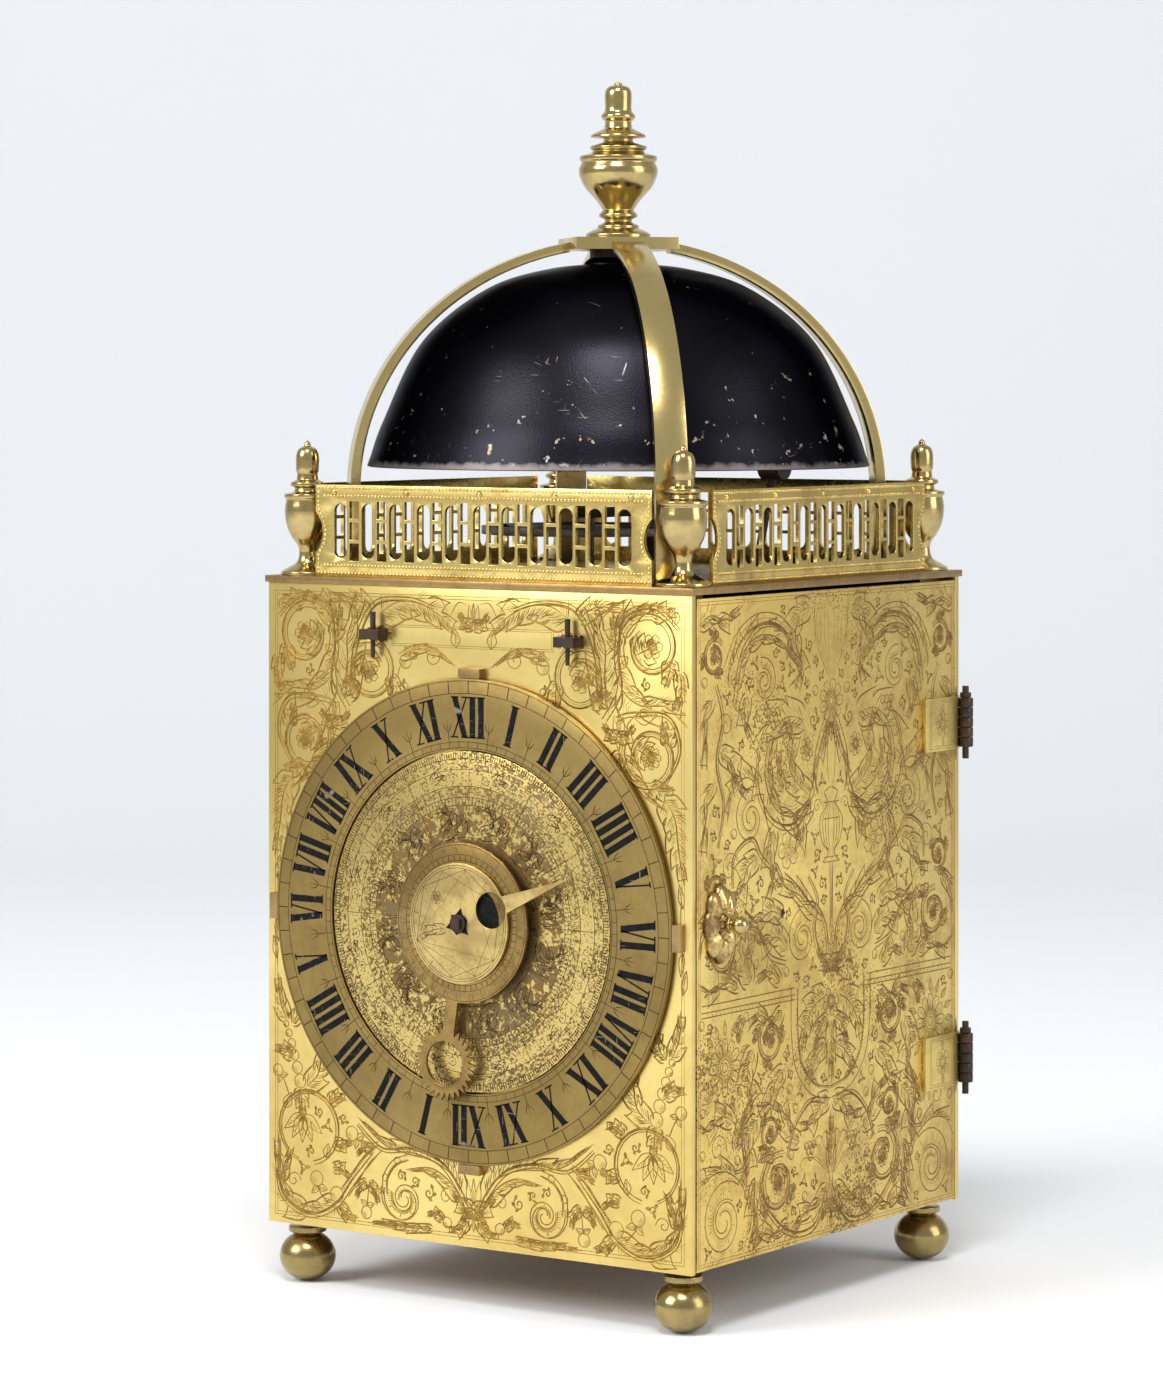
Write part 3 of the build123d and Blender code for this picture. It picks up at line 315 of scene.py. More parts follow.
def worn_dial(name, bright, dark, grey):
    """Gilding worn through to brown in rings and rows, with bright specks left in the brown."""
    material, tree, shader, coords = new_material(name, 0.42)
    place = tree.add("ShaderNodeSeparateXYZ", Vector=coords)
    rise = tree.math("SUBTRACT", place.outputs["Z"], DIAL_Z * MM)
    squares = tree.plus(tree.times(place.outputs["X"], place.outputs["X"]),
                        tree.times(rise, rise))
    radius = tree.math("SQRT", squares, 0.0)
    angle = tree.math("ARCTAN2", place.outputs["X"], rise)
    row = tree.math("FLOOR", tree.math("DIVIDE", radius, 0.00168))
    along = tree.plus(tree.times(angle, 0.036), tree.times(row, 0.037))
    signs = tree.add("ShaderNodeCombineXYZ", X=along, Y=tree.times(row, 0.013), Z=radius)
    text = tree.noise(signs.outputs["Vector"], 1250.0, 3.0, 0.6)
    broad = tree.noise(coords, 38.0, 4.0, 0.6)
    fine = tree.noise(coords, 520.0, 5.0, 0.7)
    inner = tree.steps(radius, CALENDAR_RINGS[4] * MM, (CALENDAR_RINGS[4] - 0.2) * MM)
    writing = tree.mix(inner, text, fine)
    wear = tree.plus(writing, tree.times(broad, 0.32))
    for edge, change in zip(CALENDAR_RINGS[1:], (-0.045, 0.075, -0.03, 0.07)):
        band = tree.steps(radius, (edge + 0.1) * MM, (edge - 0.1) * MM, 0.0, change)
        wear = tree.plus(wear, band)
    mask = tree.steps(wear, 0.645, 0.70)
    deep = tree.mix(tree.steps(broad, 0.5, 0.7), colour(*dark), colour(*grey))
    base = tree.mix(mask, colour(*bright), deep)
    tree.put(shader, "Base Color", base)
    tree.put(shader, "Roughness", tree.steps(mask, 0.0, 1.0, 0.32, 0.6))
    bump(tree, shader, mask, -0.25, 0.0002)
    return material


def iron(name, base, rust, rough=0.5):
    """Dark iron with brown rust in patches."""
    material, tree, shader, coords = new_material(name, rough, 0.85)
    mask = effect(tree, tarnish_group, Vector=coords, Scale=90.0, Low=0.45, High=0.62)
    tree.put(shader, "Base Color", tree.mix(mask, colour(*base), colour(*rust)))
    tree.put(shader, "Roughness", tree.steps(mask, 0.0, 1.0, rough, rough + 0.25))
    bump(tree, shader, tree.noise(coords, 900.0, 6.0), 0.25, 0.0004)
    return material


def hinge_metal():
    """Gilt leaves with dark iron knuckles at their back edge."""
    material, tree, shader, coords = new_material("Hinge leaf and knuckle", 0.4)
    mask = effect(tree, tarnish_group, Vector=coords, Scale=70.0, Low=0.45, High=0.65)
    gilt = tree.mix(tree.times(mask, 0.7), colour(0.72, 0.55, 0.19), colour(0.33, 0.21, 0.08))
    dark = tree.mix(mask, colour(0.05, 0.042, 0.038), colour(0.11, 0.06, 0.035))
    place = tree.add("ShaderNodeSeparateXYZ", Vector=coords)
    aside = tree.math("GREATER_THAN", tree.math("ABSOLUTE", place.outputs["X"]), KNUCKLE_X * MM)
    behind = tree.math("GREATER_THAN", place.outputs["Y"], KNUCKLE_Y * MM)
    knuckle = tree.times(behind, aside)
    tree.put(shader, "Base Color", tree.mix(knuckle, gilt, dark))
    bump(tree, shader, tree.noise(coords, 700.0, 5.0), 0.15, 0.0004)
    return material


def engraved_line(name, deep, painted_glint):
    """The cut of a graver: brown in the groove, with patches of brighter gold mixed in by noise as
    a painted glint of its turned edge.
    """
    material, tree, shader, coords = new_material(name, 0.5)
    fine = tree.noise(coords, 420.0, 4.0)
    # The brighter colour is a painted glint, spread at random by noise.
    base = tree.mix(tree.steps(fine, 0.4, 0.66), colour(*deep), colour(*painted_glint))
    tree.put(shader, "Base Color", base)
    bump(tree, shader, fine, 0.2, 0.0003)
    return material


def black_wax():
    """The black filling of the numerals, worn through to metal in fine scratches."""
    material, tree, shader, coords = new_material("Black numeral wax", 0.7, 0.0)
    shader.inputs["Specular IOR Level"].default_value = 0.12
    worn = effect(tree, scratches_group, Vector=coords, Scale=130.0, Cover=0.46)
    fine = tree.noise(coords, 600.0, 5.0)
    black = tree.mix(tree.steps(fine, 0.3, 0.7), colour(0.002, 0.002, 0.0025),
                     colour(0.010, 0.0095, 0.009))
    base = tree.mix(tree.times(worn, 0.55), black, colour(0.33, 0.29, 0.22))
    tree.put(shader, "Base Color", base)
    bump(tree, shader, fine, 0.3, 0.0003)
    return material


def pale_paper():
    """The seamless pale ground that the clock stands on, clear when it is seen from its back."""
    material, tree, shader, coords = new_material("Pale studio ground", 0.85, 0.0)
    cloud = tree.noise(coords, 1.5, 2.0)
    base = tree.mix(cloud, colour(0.86, 0.875, 0.90), colour(0.88, 0.89, 0.91))
    tree.put(shader, "Base Color", base)
    place = tree.add("ShaderNodeSeparateXYZ", Vector=coords)
    ahead = tree.plus(tree.times(place.outputs["X"], -math.sin(CAMERA_TURN)),
                      tree.times(place.outputs["Y"], math.cos(CAMERA_TURN)))
    behind = tree.add("ShaderNodeNewGeometry").outputs["Backfacing"]
    clear = tree.math("MAXIMUM", behind, tree.steps(ahead, *GROUND_FADE))
    blend = tree.add("ShaderNodeMixShader", Fac=clear)
    tree.put(blend, 1, shader.outputs["BSDF"])
    tree.put(blend, 2, tree.add("ShaderNodeBsdfTransparent").outputs["BSDF"])
    tree.put(tree.tree.nodes["Material Output"], "Surface", blend.outputs["Shader"])
    return material


# Each finish: what makes it, and that maker's values in order
FINISHES = {
    "front_gilt": (aged_brass, "Front plate gilding", (0.86, 0.68, 0.245), (0.50, 0.33, 0.085),
                   20.0, 0.46, 0.72, 0.0, (0.30, 0.44), 0.06, 0.6),
    "door_gilt": (aged_brass, "Door gilding", (0.83, 0.635, 0.205), (0.40, 0.26, 0.085), 55.0, 0.46,
                  0.66, 0.52, (0.42, 0.62), 0.12, 0.8),
    "polished": (aged_brass, "Polished brass", (0.56, 0.44, 0.19), (0.25, 0.17, 0.07), 60.0, 0.46,
                 0.70, 0.12, (0.17, 0.38), 0.05, 0.75),
    "foot": (aged_brass, "Foot brass", (0.43, 0.34, 0.145), (0.20, 0.14, 0.06), 50.0, 0.44, 0.68,
             0.14, (0.20, 0.42), 0.06, 0.75),
    "cast": (aged_brass, "Cast brass", (0.64, 0.46, 0.17), (0.17, 0.095, 0.045), 170.0, 0.43, 0.58,
             0.4, (0.24, 0.5), 0.2, 0.85),
    "strap": (aged_brass, "Strap brass", (0.70, 0.56, 0.24), (0.34, 0.23, 0.09), 70.0, 0.5, 0.74,
              0.10, (0.20, 0.42), 0.06, 0.6),
    "fret": (aged_brass, "Gallery brass", (0.76, 0.59, 0.21), (0.33, 0.22, 0.07), 80.0, 0.46, 0.66,
             0.16, (0.24, 0.48), 0.08, 0.75),
    "ring": (aged_brass, "Chapter ring brass", (0.33, 0.235, 0.078), (0.17, 0.115, 0.045), 45.0,
             0.42, 0.68, 0.16, (0.36, 0.58), 0.10, 0.7),
    "calendar": (worn_dial, "Calendar brass", (0.62, 0.47, 0.165), (0.22, 0.14, 0.05),
                 (0.21, 0.17, 0.10)),
    "moon": (aged_brass, "Moon disc gilding", (0.62, 0.47, 0.18), (0.30, 0.20, 0.075), 110.0, 0.44,
             0.62, 0.3, (0.28, 0.52), 0.08, 0.75),
    "hand": (aged_brass, "Hand brass", (0.35, 0.235, 0.08), (0.15, 0.09, 0.035), 90.0, 0.44, 0.64,
             0.2, (0.28, 0.52), 0.10, 0.8),
    "plate": (aged_brass, "Plate brass", (0.40, 0.27, 0.11), (0.17, 0.11, 0.05), 60.0, 0.44, 0.66,
              0.25, (0.36, 0.56), 0.10, 0.8),
    "train": (aged_brass, "Wheel brass", (0.62, 0.43, 0.16), (0.26, 0.16, 0.06), 70.0, 0.46, 0.68,
              0.12, (0.24, 0.46), 0.08, 0.6),
    "bell": (bell_paint,),
    "iron": (iron, "Dark iron", (0.045, 0.038, 0.034), (0.10, 0.055, 0.032)),
    "steel": (iron, "Blued steel", (0.19, 0.185, 0.18), (0.11, 0.075, 0.05), 0.32),
    "hinge": (hinge_metal,),
    # The second colour of each engraving is its painted glint.
    "engraving": (engraved_line, "Engraving in the front", (0.30, 0.175, 0.035),
                  (0.46, 0.30, 0.08)),
    "door_engraving": (engraved_line, "Engraving in the doors", (0.25, 0.14, 0.038),
                       (0.40, 0.26, 0.085)),
    "dial_engraving": (engraved_line, "Engraving in the dial", (0.045, 0.027, 0.012),
                       (0.11, 0.065, 0.025)),
    # The black wax also serves as the painted shade of the hole round the moon's nose.
    "wax": (black_wax,),
    "ground": (pale_paper,),
}


def finish(name):
    """A named finish, built the first time that it is asked for."""
    return made(*FINISHES[name])


# Mesh helpers
def polar(u, v, radius, angle):
    """The point at a radius from (u, v), at an angle in radians."""
    return u + radius * math.cos(angle), v + radius * math.sin(angle)


def show(name, mesh, body, material):
    """A mesh as a shown object of the clock, at the origin, riding on a body."""
    mesh.materials.clear()
    mesh.materials.append(finish(material))
    thing = bpy.data.objects.new(name, mesh)
    bpy.context.scene.collection.objects.link(thing)
    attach(thing, body)
    return thing


def mesh_of(name, points, faces, crease=35.0):
    """A closed mesh from points in millimetres, smooth but for edges over the crease angle."""
    mesh = bpy.data.meshes.new(name)
    mesh.from_pydata([Vector(point) * MM for point in points], [], faces)
    shell = bmesh.new()
    shell.from_mesh(mesh)
    bmesh.ops.recalc_face_normals(shell, faces=shell.faces)
    shell.to_mesh(mesh)
    shell.free()
    mesh.shade_smooth()
    mesh.set_sharp_from_angle(angle=math.radians(crease))
    return mesh


def softened(profile, sharp_cut=0.28):
    """A profile whose gentle corners are rounded widely and whose sharp ones are just broken."""
    out = [profile[0]]
    for before, corner, after in zip(profile, profile[1:], profile[2:]):
        first = Vector(corner) - Vector(before)
        second = Vector(after) - Vector(corner)
        gentle = first.angle(second, 0.0) < math.radians(52.0)
        reach_in = first.length * 0.36
        reach_out = second.length * 0.36
        if not gentle:
            reach_in = min(reach_in, sharp_cut)
            reach_out = min(reach_out, sharp_cut)
        start = Vector(corner) - first.normalized() * reach_in
        end = Vector(corner) + second.normalized() * reach_out
        for step in range(5):
            t = step / 4
            place = start * (1 - t) ** 2 + Vector(corner) * (2 * t * (1 - t)) + end * t ** 2
            out.append((place.x, place.y))
    out.append(profile[-1])
    return out


def spun_faces(first, rings, steps):
    """The faces of a closed form whose rings of points lie between two single points."""
    faces = []
    last = first + 1 + rings * steps
    for step in range(steps):
        after = (step + 1) % steps
        faces.append((first, first + 1 + step, first + 1 + after))
        for low in range(first + 1, last - steps, steps):
            high = low + steps
            faces.append((low + step, high + step, high + after, low + after))
        faces.append((last - steps + step, last, last - steps + after))
    return faces


def lathe_mesh(name, profile, centres, steps):
    """Bodies turned about upright axes. The profile is (radius, z), from the axis to the axis."""
    points = []
    faces = []
    for centre_x, centre_y in centres:
        faces += spun_faces(len(points), len(profile) - 2, steps)
        points.append((centre_x, centre_y, profile[0][1]))
        for radius, z in profile[1:-1]:
            points += [(*polar(centre_x, centre_y, radius, math.tau * step / steps), z)
                       for step in range(steps)]
        points.append((centre_x, centre_y, profile[-1][1]))
    return mesh_of(name, points, faces)


def face_matrix(face, depth):
    """The turn from a flat drawing (u, v, height), in millimetres, to a face of the case."""
    turn, place = {
        "front": (((1, 0, 0), (0, 0, -1), (0, 1, 0)), (0, depth, 0)),
        "right": (((0, 0, 1), (1, 0, 0), (0, 1, 0)), (depth, 0, 0)),
        "left": (((0, 0, -1), (-1, 0, 0), (0, 1, 0)), (-depth, 0, 0)),
        "back": (((-1, 0, 0), (0, 0, 1), (0, 1, 0)), (0, depth, 0)),
    }[face]
    matrix = Matrix(turn).to_4x4()
    matrix.translation = Vector(place) * MM
    return matrix


def inlay(name, polygons, depth, body, thick=0.06, sink=0.02):
    """Flat polygons, as thin closed plates of black wax that lie on the front. Where one fills a
    hole, its black is painted shade.
    """
    points = []
    faces = []
    for polygon in polygons:
        count = len(polygon)
        first = len(points)
        for height in (-sink, thick):
            points += [(u, v, height) for u, v in polygon]
        faces.append(tuple(reversed(range(first, first + count))))
        faces.append(tuple(range(first + count, first + 2 * count)))
        for step in range(count):
            after = (step + 1) % count
            faces.append((first + step, first + after, first + count + after, first + count + step))
    mesh = mesh_of(name, points, faces, 10.0)
    mesh.transform(face_matrix("front", depth))
    return show(name, mesh, body, "wax")


# Geometry node trees
def geometry_tree(name, **inputs):
    """An empty geometry tree with its named inputs."""
    group = bpy.data.node_groups.new(name, "GeometryNodeTree")
    for way in ("INPUT", "OUTPUT"):
        group.interface.new_socket(name="Geometry", in_out=way, socket_type="NodeSocketGeometry")
    add_inputs(group, inputs)
    return group, Tree(group), group.nodes.new("NodeGroupInput"), group.nodes.new("NodeGroupOutput")


def finish_tree(group, tree, given, out, geometry):
    """The end that every geometry tree shares."""
    real = tree.add("GeometryNodeRealizeInstances", Geometry=geometry)
    painted = tree.add("GeometryNodeSetMaterial", Geometry=real.outputs["Geometry"],
                       Material=given.outputs["Material"])
    group.links.new(painted.outputs["Geometry"], out.inputs["Geometry"])
    return group


def line_tree():
    """Turns strokes drawn in the flat into low ridges whose width follows the stroke's radius."""
    group, tree, given, out = geometry_tree("Engraved Lines", Flatness=0.15, Material=None)
    section = tree.add("GeometryNodeCurvePrimitiveCircle", Resolution=3, Radius=1.0)
    half_width = tree.add("GeometryNodeInputRadius")
    solid = tree.add("GeometryNodeCurveToMesh", Curve=given.outputs["Geometry"],
                     Profile_Curve=section.outputs["Curve"], Scale=half_width.outputs["Radius"],
                     Fill_Caps=True)
    size = tree.add("ShaderNodeCombineXYZ", X=1.0, Y=1.0, Z=given.outputs["Flatness"])
    flat = tree.add("GeometryNodeTransform", Geometry=solid.outputs["Mesh"],
                    Scale=size.outputs["Vector"])
    return finish_tree(group, tree, given, out, flat.outputs["Geometry"])


def ray_tree():
    """Places marks evenly round a circle, each pointing outwards."""
    group, tree, given, out = geometry_tree("Radial Marks", Count=60, Radius=0.06, Length=0.003,
                                            Width=0.0002, Height=0.00004, Material=None)
    ring = tree.add("GeometryNodeMeshCircle", Vertices=given.outputs["Count"],
                    Radius=given.outputs["Radius"])
    size = tree.add("ShaderNodeCombineXYZ", X=given.outputs["Length"], Y=given.outputs["Width"],
                    Z=given.outputs["Height"])
    mark = tree.add("GeometryNodeMeshCube", Size=size.outputs["Vector"])
    place = tree.add("GeometryNodeInputPosition")
    turn = tree.add("FunctionNodeAlignRotationToVector", {"axis": "X", "pivot_axis": "Z"},
                    Vector=place.outputs["Position"])
    marks = tree.add("GeometryNodeInstanceOnPoints", Points=ring.outputs["Mesh"],
                     Instance=mark.outputs["Mesh"], Rotation=turn.outputs["Rotation"])
    return finish_tree(group, tree, given, out, marks.outputs["Instances"])


def bead_tree():
    """Places round beads at even steps along the strokes."""
    group, tree, given, out = geometry_tree("Bead Row", Spacing=0.0014, Radius=0.0006, Flatness=0.6,
                                            Material=None)
    row = tree.add("GeometryNodeCurveToPoints", {"mode": "LENGTH"}, Curve=given.outputs["Geometry"],
                   Length=given.outputs["Spacing"])
    ball = tree.add("GeometryNodeMeshIcoSphere", Radius=given.outputs["Radius"], Subdivisions=2)
    smooth = tree.add("GeometryNodeSetShadeSmooth", Geometry=ball.outputs["Mesh"])
    size = tree.add("ShaderNodeCombineXYZ", X=1.0, Y=1.0, Z=given.outputs["Flatness"])
    squashed = tree.add("GeometryNodeTransform", Geometry=smooth.outputs["Geometry"],
                        Scale=size.outputs["Vector"])
    beads = tree.add("GeometryNodeInstanceOnPoints", Points=row.outputs["Points"],
                     Instance=squashed.outputs["Geometry"])
    return finish_tree(group, tree, given, out, beads.outputs["Instances"])


def smooth_tree():
    """Shades a solid smooth except across edges that turn more than the limit."""
    group, tree, given, out = geometry_tree("Smooth Below Angle", Limit=0.6)
    angle = tree.add("GeometryNodeInputMeshEdgeAngle")
    gentle = tree.math("LESS_THAN", angle.outputs["Unsigned Angle"], given.outputs["Limit"])
    edges_done = tree.add("GeometryNodeSetShadeSmooth", {"domain": "EDGE"},
                          Geometry=given.outputs["Geometry"], Shade_Smooth=gentle)
    faces_done = tree.add("GeometryNodeSetShadeSmooth", {"domain": "FACE"},
                          Geometry=edges_done.outputs["Geometry"], Shade_Smooth=True)
    group.links.new(faces_done.outputs["Geometry"], out.inputs["Geometry"])
    return group


def set_inputs(modifier, values):
    """Sets a modifier's inputs by the identifiers of their sockets."""
    for item in modifier.node_group.interface.items_tree:
        if item.in_out == "INPUT" and item.name in values:
            modifier[item.identifier] = values[item.name]


def grown(name, source, tree_maker, values, matrix):
    """The plain mesh that a geometry tree makes of a source object, which is then removed."""
    bpy.context.scene.collection.objects.link(source)
    modifier = source.modifiers.new("Grown", "NODES")
    modifier.node_group = made(tree_maker)
    set_inputs(modifier, values)
    ready = source.evaluated_get(bpy.context.evaluated_depsgraph_get())
    mesh = bpy.data.meshes.new_from_object(ready)
    mesh.name = name
    source.modifiers.remove(modifier)
    bpy.data.objects.remove(source)
    mesh.transform(matrix)
    return mesh


def stroke_object(strokes, scale):
    """Strokes, as lists of (u, v, half width) in millimetres, in one curve object."""
    data = bpy.data.curves.new("strokes", "CURVE")
    data.dimensions = "3D"
    for points, closed in strokes:
        spline = data.splines.new("POLY")
        spline.points.add(len(points) - 1)
        for place, (u, v, half) in zip(spline.points, points):
            place.co = (u * MM, v * MM, 0.0, 1.0)
            place.radius = max(half, 0.02) * MM * scale
        spline.use_cyclic_u = closed
    return bpy.data.objects.new("strokes", data)


def engrave(name, drawing, face, depth, body, material):
    """A drawing cut into a face of the clock."""
    options = bpy.context.scene.clock_dressing
    values = {"Flatness": options.line_flatness, "Material": finish(material)}
    source = stroke_object(drawing.strokes, options.line_scale)
    mesh = grown(name, source, line_tree, values, face_matrix(face, depth))
    return show(name, mesh, body, material)


def radial_marks(name, count, inner, outer, width, depth, body):
    """Marks round the dial, from an inner to an outer radius."""
    source = bpy.data.objects.new("rays", bpy.data.meshes.new("rays"))
    material = "dial_engraving"
    values = {"Count": count, "Radius": (inner + outer) / 2 * MM, "Length": (outer - inner) * MM,
              "Width": width * MM, "Height": 0.05 * MM, "Material": finish(material)}
    matrix = face_matrix("front", depth) @ Matrix.Translation((0, DIAL_Z * MM, 0))
    return show(name, grown(name, source, ray_tree, values, matrix), body, material)


def fret_beads(name, rows, face, depth, spacing, radius, flatness=0.6):
    """Rows of round beads on a gallery fret."""
    strokes = [([(u, v, 0.5) for u, v in row], False) for row in rows]
    values = {"Spacing": spacing * MM, "Radius": radius * MM, "Flatness": flatness,
              "Material": finish("fret")}
    mesh = grown(name, stroke_object(strokes, 1.0), bead_tree, values, face_matrix(face, depth))
    return show(name, mesh, "case", "fret")


# Drawing
def resampled(path, count):
    """Even points along a line of (u, v) points."""
    lengths = [0.0]
    for first, second in zip(path, path[1:]):
        lengths.append(lengths[-1] + math.dist(first, second))
    out = []
    leg = 0
    for step in range(count):
        goal = lengths[-1] * step / (count - 1)
        while leg < len(path) - 2 and lengths[leg + 1] < goal:
            leg += 1
        span = lengths[leg + 1] - lengths[leg]
        t = (goal - lengths[leg]) / span if span else 0.0
        (u0, v0), (u1, v1) = path[leg], path[leg + 1]
        out.append((u0 + (u1 - u0) * t, v0 + (v1 - v0) * t))
    return out


def smooth_path(points, steps=8):
    """A Catmull-Rom curve through the points."""
    if len(points) < 3:
        return resampled(points, steps)
    padded = [points[0]] + list(points) + [points[-1]]
    out = []
    for a, b, c, d in zip(padded, padded[1:], padded[2:], padded[3:]):
        for step in range(steps):
            t = step / steps
            out.append(tuple(0.5 * (2 * b[k] + (c[k] - a[k]) * t
                                    + (2 * a[k] - 5 * b[k] + 4 * c[k] - d[k]) * t * t
                                    + (3 * b[k] - a[k] - 3 * c[k] + d[k]) * t ** 3)
                             for k in (0, 1)))
    out.append(points[-1])
    return out


def side_of(path, index):
    """The unit vector to the left of a path at one of its points."""
    before = path[max(index - 1, 0)]
    after = path[min(index + 1, len(path) - 1)]
    length = math.dist(before, after) or 1.0
    return -(after[1] - before[1]) / length, (after[0] - before[0]) / length


DIGITS = {
    "0": [[(0.5, 1), (0.1, 0.75), (0.1, 0.25), (0.5, 0), (0.9, 0.25), (0.9, 0.75), (0.5, 1)]],
    "1": [[(0.25, 0.78), (0.55, 1), (0.55, 0)]],
    "2": [[(0.1, 0.75), (0.5, 1), (0.9, 0.72), (0.1, 0), (0.9, 0)]],
    "3": [[(0.1, 0.9), (0.6, 1), (0.85, 0.75), (0.45, 0.52), (0.9, 0.25), (0.5, 0), (0.1, 0.12)]],
    "4": [[(0.7, 0), (0.7, 1), (0.1, 0.3), (0.95, 0.3)]],
    "5": [[(0.85, 1), (0.2, 1), (0.15, 0.55), (0.6, 0.6), (0.9, 0.3), (0.5, 0), (0.1, 0.1)]],
    "6": [[(0.8, 1), (0.25, 0.6), (0.12, 0.25), (0.5, 0), (0.88, 0.28), (0.5, 0.52), (0.15, 0.3)]],
    "7": [[(0.1, 1), (0.9, 1), (0.4, 0)]],
    "8": [[(0.5, 0.53), (0.15, 0.78), (0.5, 1), (0.85, 0.78), (0.5, 0.53), (0.1, 0.25), (0.5, 0),
           (0.9, 0.25), (0.5, 0.53)]],
    "9": [[(0.85, 0.7), (0.5, 0.48), (0.12, 0.72), (0.5, 1), (0.88, 0.75), (0.75, 0.3), (0.3, 0)]],
}


class Drawing:
    """Strokes of a graver on a flat face, in millimetres."""

    def __init__(self, pen=0.16):
        self.strokes = []
        self.pen = pen

    def line(self, points, pen=None, taper=False, closed=False):
        """A line through points, of even breadth or tapered to both ends."""
        half = pen or self.pen
        last = len(points) - 1
        placed = []
        for index, (u, v) in enumerate(points):
            swell = 0.35 + 0.65 * math.sin(math.pi * index / last) if taper else 1.0
            placed.append((u, v, half * swell))
        self.strokes.append((placed, closed))

    def curve(self, points, pen=None, taper=True, steps=7):
        """A smooth line through points."""
        self.line(smooth_path(points, steps), pen, taper)

    def vine(self, points, breadth, taper=0.35, side=1, steps=7):
        """A stem along a smooth line through some points."""
        return self.stem(smooth_path(points, steps), breadth, taper, side)

    def ring(self, u, v, radius, pen=None, steps=None):
        """A whole circle."""
        count = steps or max(10, int(radius * 5) + 8)
        turn = [math.tau * step / count for step in range(count)]
        self.line([polar(u, v, radius, angle) for angle in turn], pen, closed=True)

    def berry(self, u, v, radius):
        """A round berry with a shaded side."""
        self.ring(u, v, radius)
        for shrink in (0.78, 0.56, 0.34):
            arc = [polar(u, v, radius * shrink, math.radians(angle))
                   for angle in range(-110, 21, 26)]
            self.line(arc, self.pen * 0.6, True)

    def stalk(self, points, radius):
        """A berry at the end of a bent stalk, with two small leaves under it."""
        path = smooth_path(points, 5)
        self.line(path, self.pen * 1.2)
        u, v = path[-1]
        heading = math.atan2(v - path[-3][1], u - path[-3][0])
        self.berry(*polar(u, v, radius, heading), radius)
        for side in (1, -1):
            self.sprig(u, v, radius * 1.5, math.degrees(heading) + 180 + side * 62, radius * 0.45)

    def spiral(self, u, v, radius, turns, start, hand=1, pen=None, inner=0.12):
        """A volute that winds in from its outer end, which is given back. Angles are in degrees."""
        count = int(turns * 22) + 2
        path = []
        for step in range(count):
            t = step / (count - 1)
            reach = radius * (1 - (1 - inner) * t ** 0.85)
            angle = math.radians(start) + hand * turns * math.tau * t
            path.append(polar(u, v, reach, angle))
        self.line(path, pen)
        return path

    def stem(self, path, breadth, taper=0.35, side=1):
        """A stem with two edges and short shading strokes along one side."""
        last = len(path) - 1
        edges_drawn = {1: [], -1: []}
        for index, (u, v) in enumerate(path):
            half = breadth / 2 * (1 - (1 - taper) * index / last)
            normal = side_of(path, index)
            for hand in (1, -1):
                edges_drawn[hand].append((u + normal[0] * half * hand, v + normal[1] * half * hand))
        self.line(edges_drawn[side], self.pen * 2.5, True)
        self.line(edges_drawn[-side], self.pen * 1.3)
        for index in range(1, last):
            edge = edges_drawn[side][index]
            (u, v) = path[index]
            self.line([edge, (edge[0] * 0.45 + u * 0.55, edge[1] * 0.45 + v * 0.55)],
                      self.pen * 0.9)
        return path

    def leaf(self, spine, breadth, lobes=5, sides=(1, -1), hatch=3):
        """An acanthus leaf: long lobes that sweep forwards, with veins and shading strokes."""
        lobes = max(3, round(lobes * 0.68))
        path = resampled(smooth_path(spine), lobes * 8 + 1)
        last = len(path) - 1
        pace = sum(math.dist(first, second) for first, second in zip(path, path[1:])) / lobes
        self.line(path[::2], self.pen * 1.5, True)

        def swell(t):
            rise = math.sin(math.pi * min(1.0, 0.2 + 0.8 * t)) ** 0.6
            return breadth * 1.5 * rise * (1.15 - 0.5 * t)

        def out(t, reach, ahead, side):
            index = min(last, max(0, round(t * last)))
            normal = side_of(path, index)
            return (path[index][0] + normal[0] * side * reach + normal[1] * ahead,
                    path[index][1] + normal[1] * side * reach - normal[0] * ahead)

        shades = lobes * 5
        for number in range(shades if hatch else 0):
            t = (number + 0.5) / shades
            reach = swell(t) * (0.66 if number % 5 else 0.8)
            self.line([out(t, reach * 0.08, 0.0, sides[0]),
                       out(t, reach * 0.55, pace * 0.22, sides[0]),
                       out(t, reach, pace * 0.62, sides[0])], self.pen * 0.95, True)
        for side in sides:
            for number in range(lobes):
                start, end = number / lobes, (number + 1) / lobes
                wide = swell((start + end) / 2)
                after = swell(min(1.0, end + 0.5 / lobes))
                sweep = pace * (1.35 if number < lobes - 1 else 1.1)
                notch = out(start, wide * 0.56, 0.0, side)
                bulge = out(start, wide * 0.98, sweep * 0.26, side)
                tip = out(start, wide * 1.12, sweep, side)
                inner = out(start, wide * 0.84, sweep * 0.86, side)
                close = out(end, after * 0.56, 0.0, side)
                self.line(smooth_path([notch, bulge, tip], 5), self.pen * 2.0, True)
                self.line(smooth_path([tip, inner, close], 3), self.pen * 1.1)
                for stroke in range(hatch + 1):
                    share = (stroke + 0.4) / (hatch + 1)
                    foot = out(start + share * 0.8 / lobes, wide * 0.06, 0.0, side)
                    head = out(start, wide * (0.84 - 0.34 * share), sweep * (0.34 + 0.5 * share),
                               side)
                    bend = out(start, wide * 0.36, sweep * (0.16 + 0.44 * share), side)
                    self.line([foot, bend, head], self.pen * (1.35 if stroke == 0 else 0.7), True)
        return path

    def sprig(self, u, v, length, angle, breadth=None):
        """A single small leaf with a midrib and shading strokes on one side."""
        direction = (math.cos(math.radians(angle)), math.sin(math.radians(angle)))
        across = (-direction[1], direction[0])
        wide = breadth or length * 0.3

        def place(along, aside):
            return (u + direction[0] * length * along + across[0] * wide * aside,
                    v + direction[1] * length * along + across[1] * wide * aside)

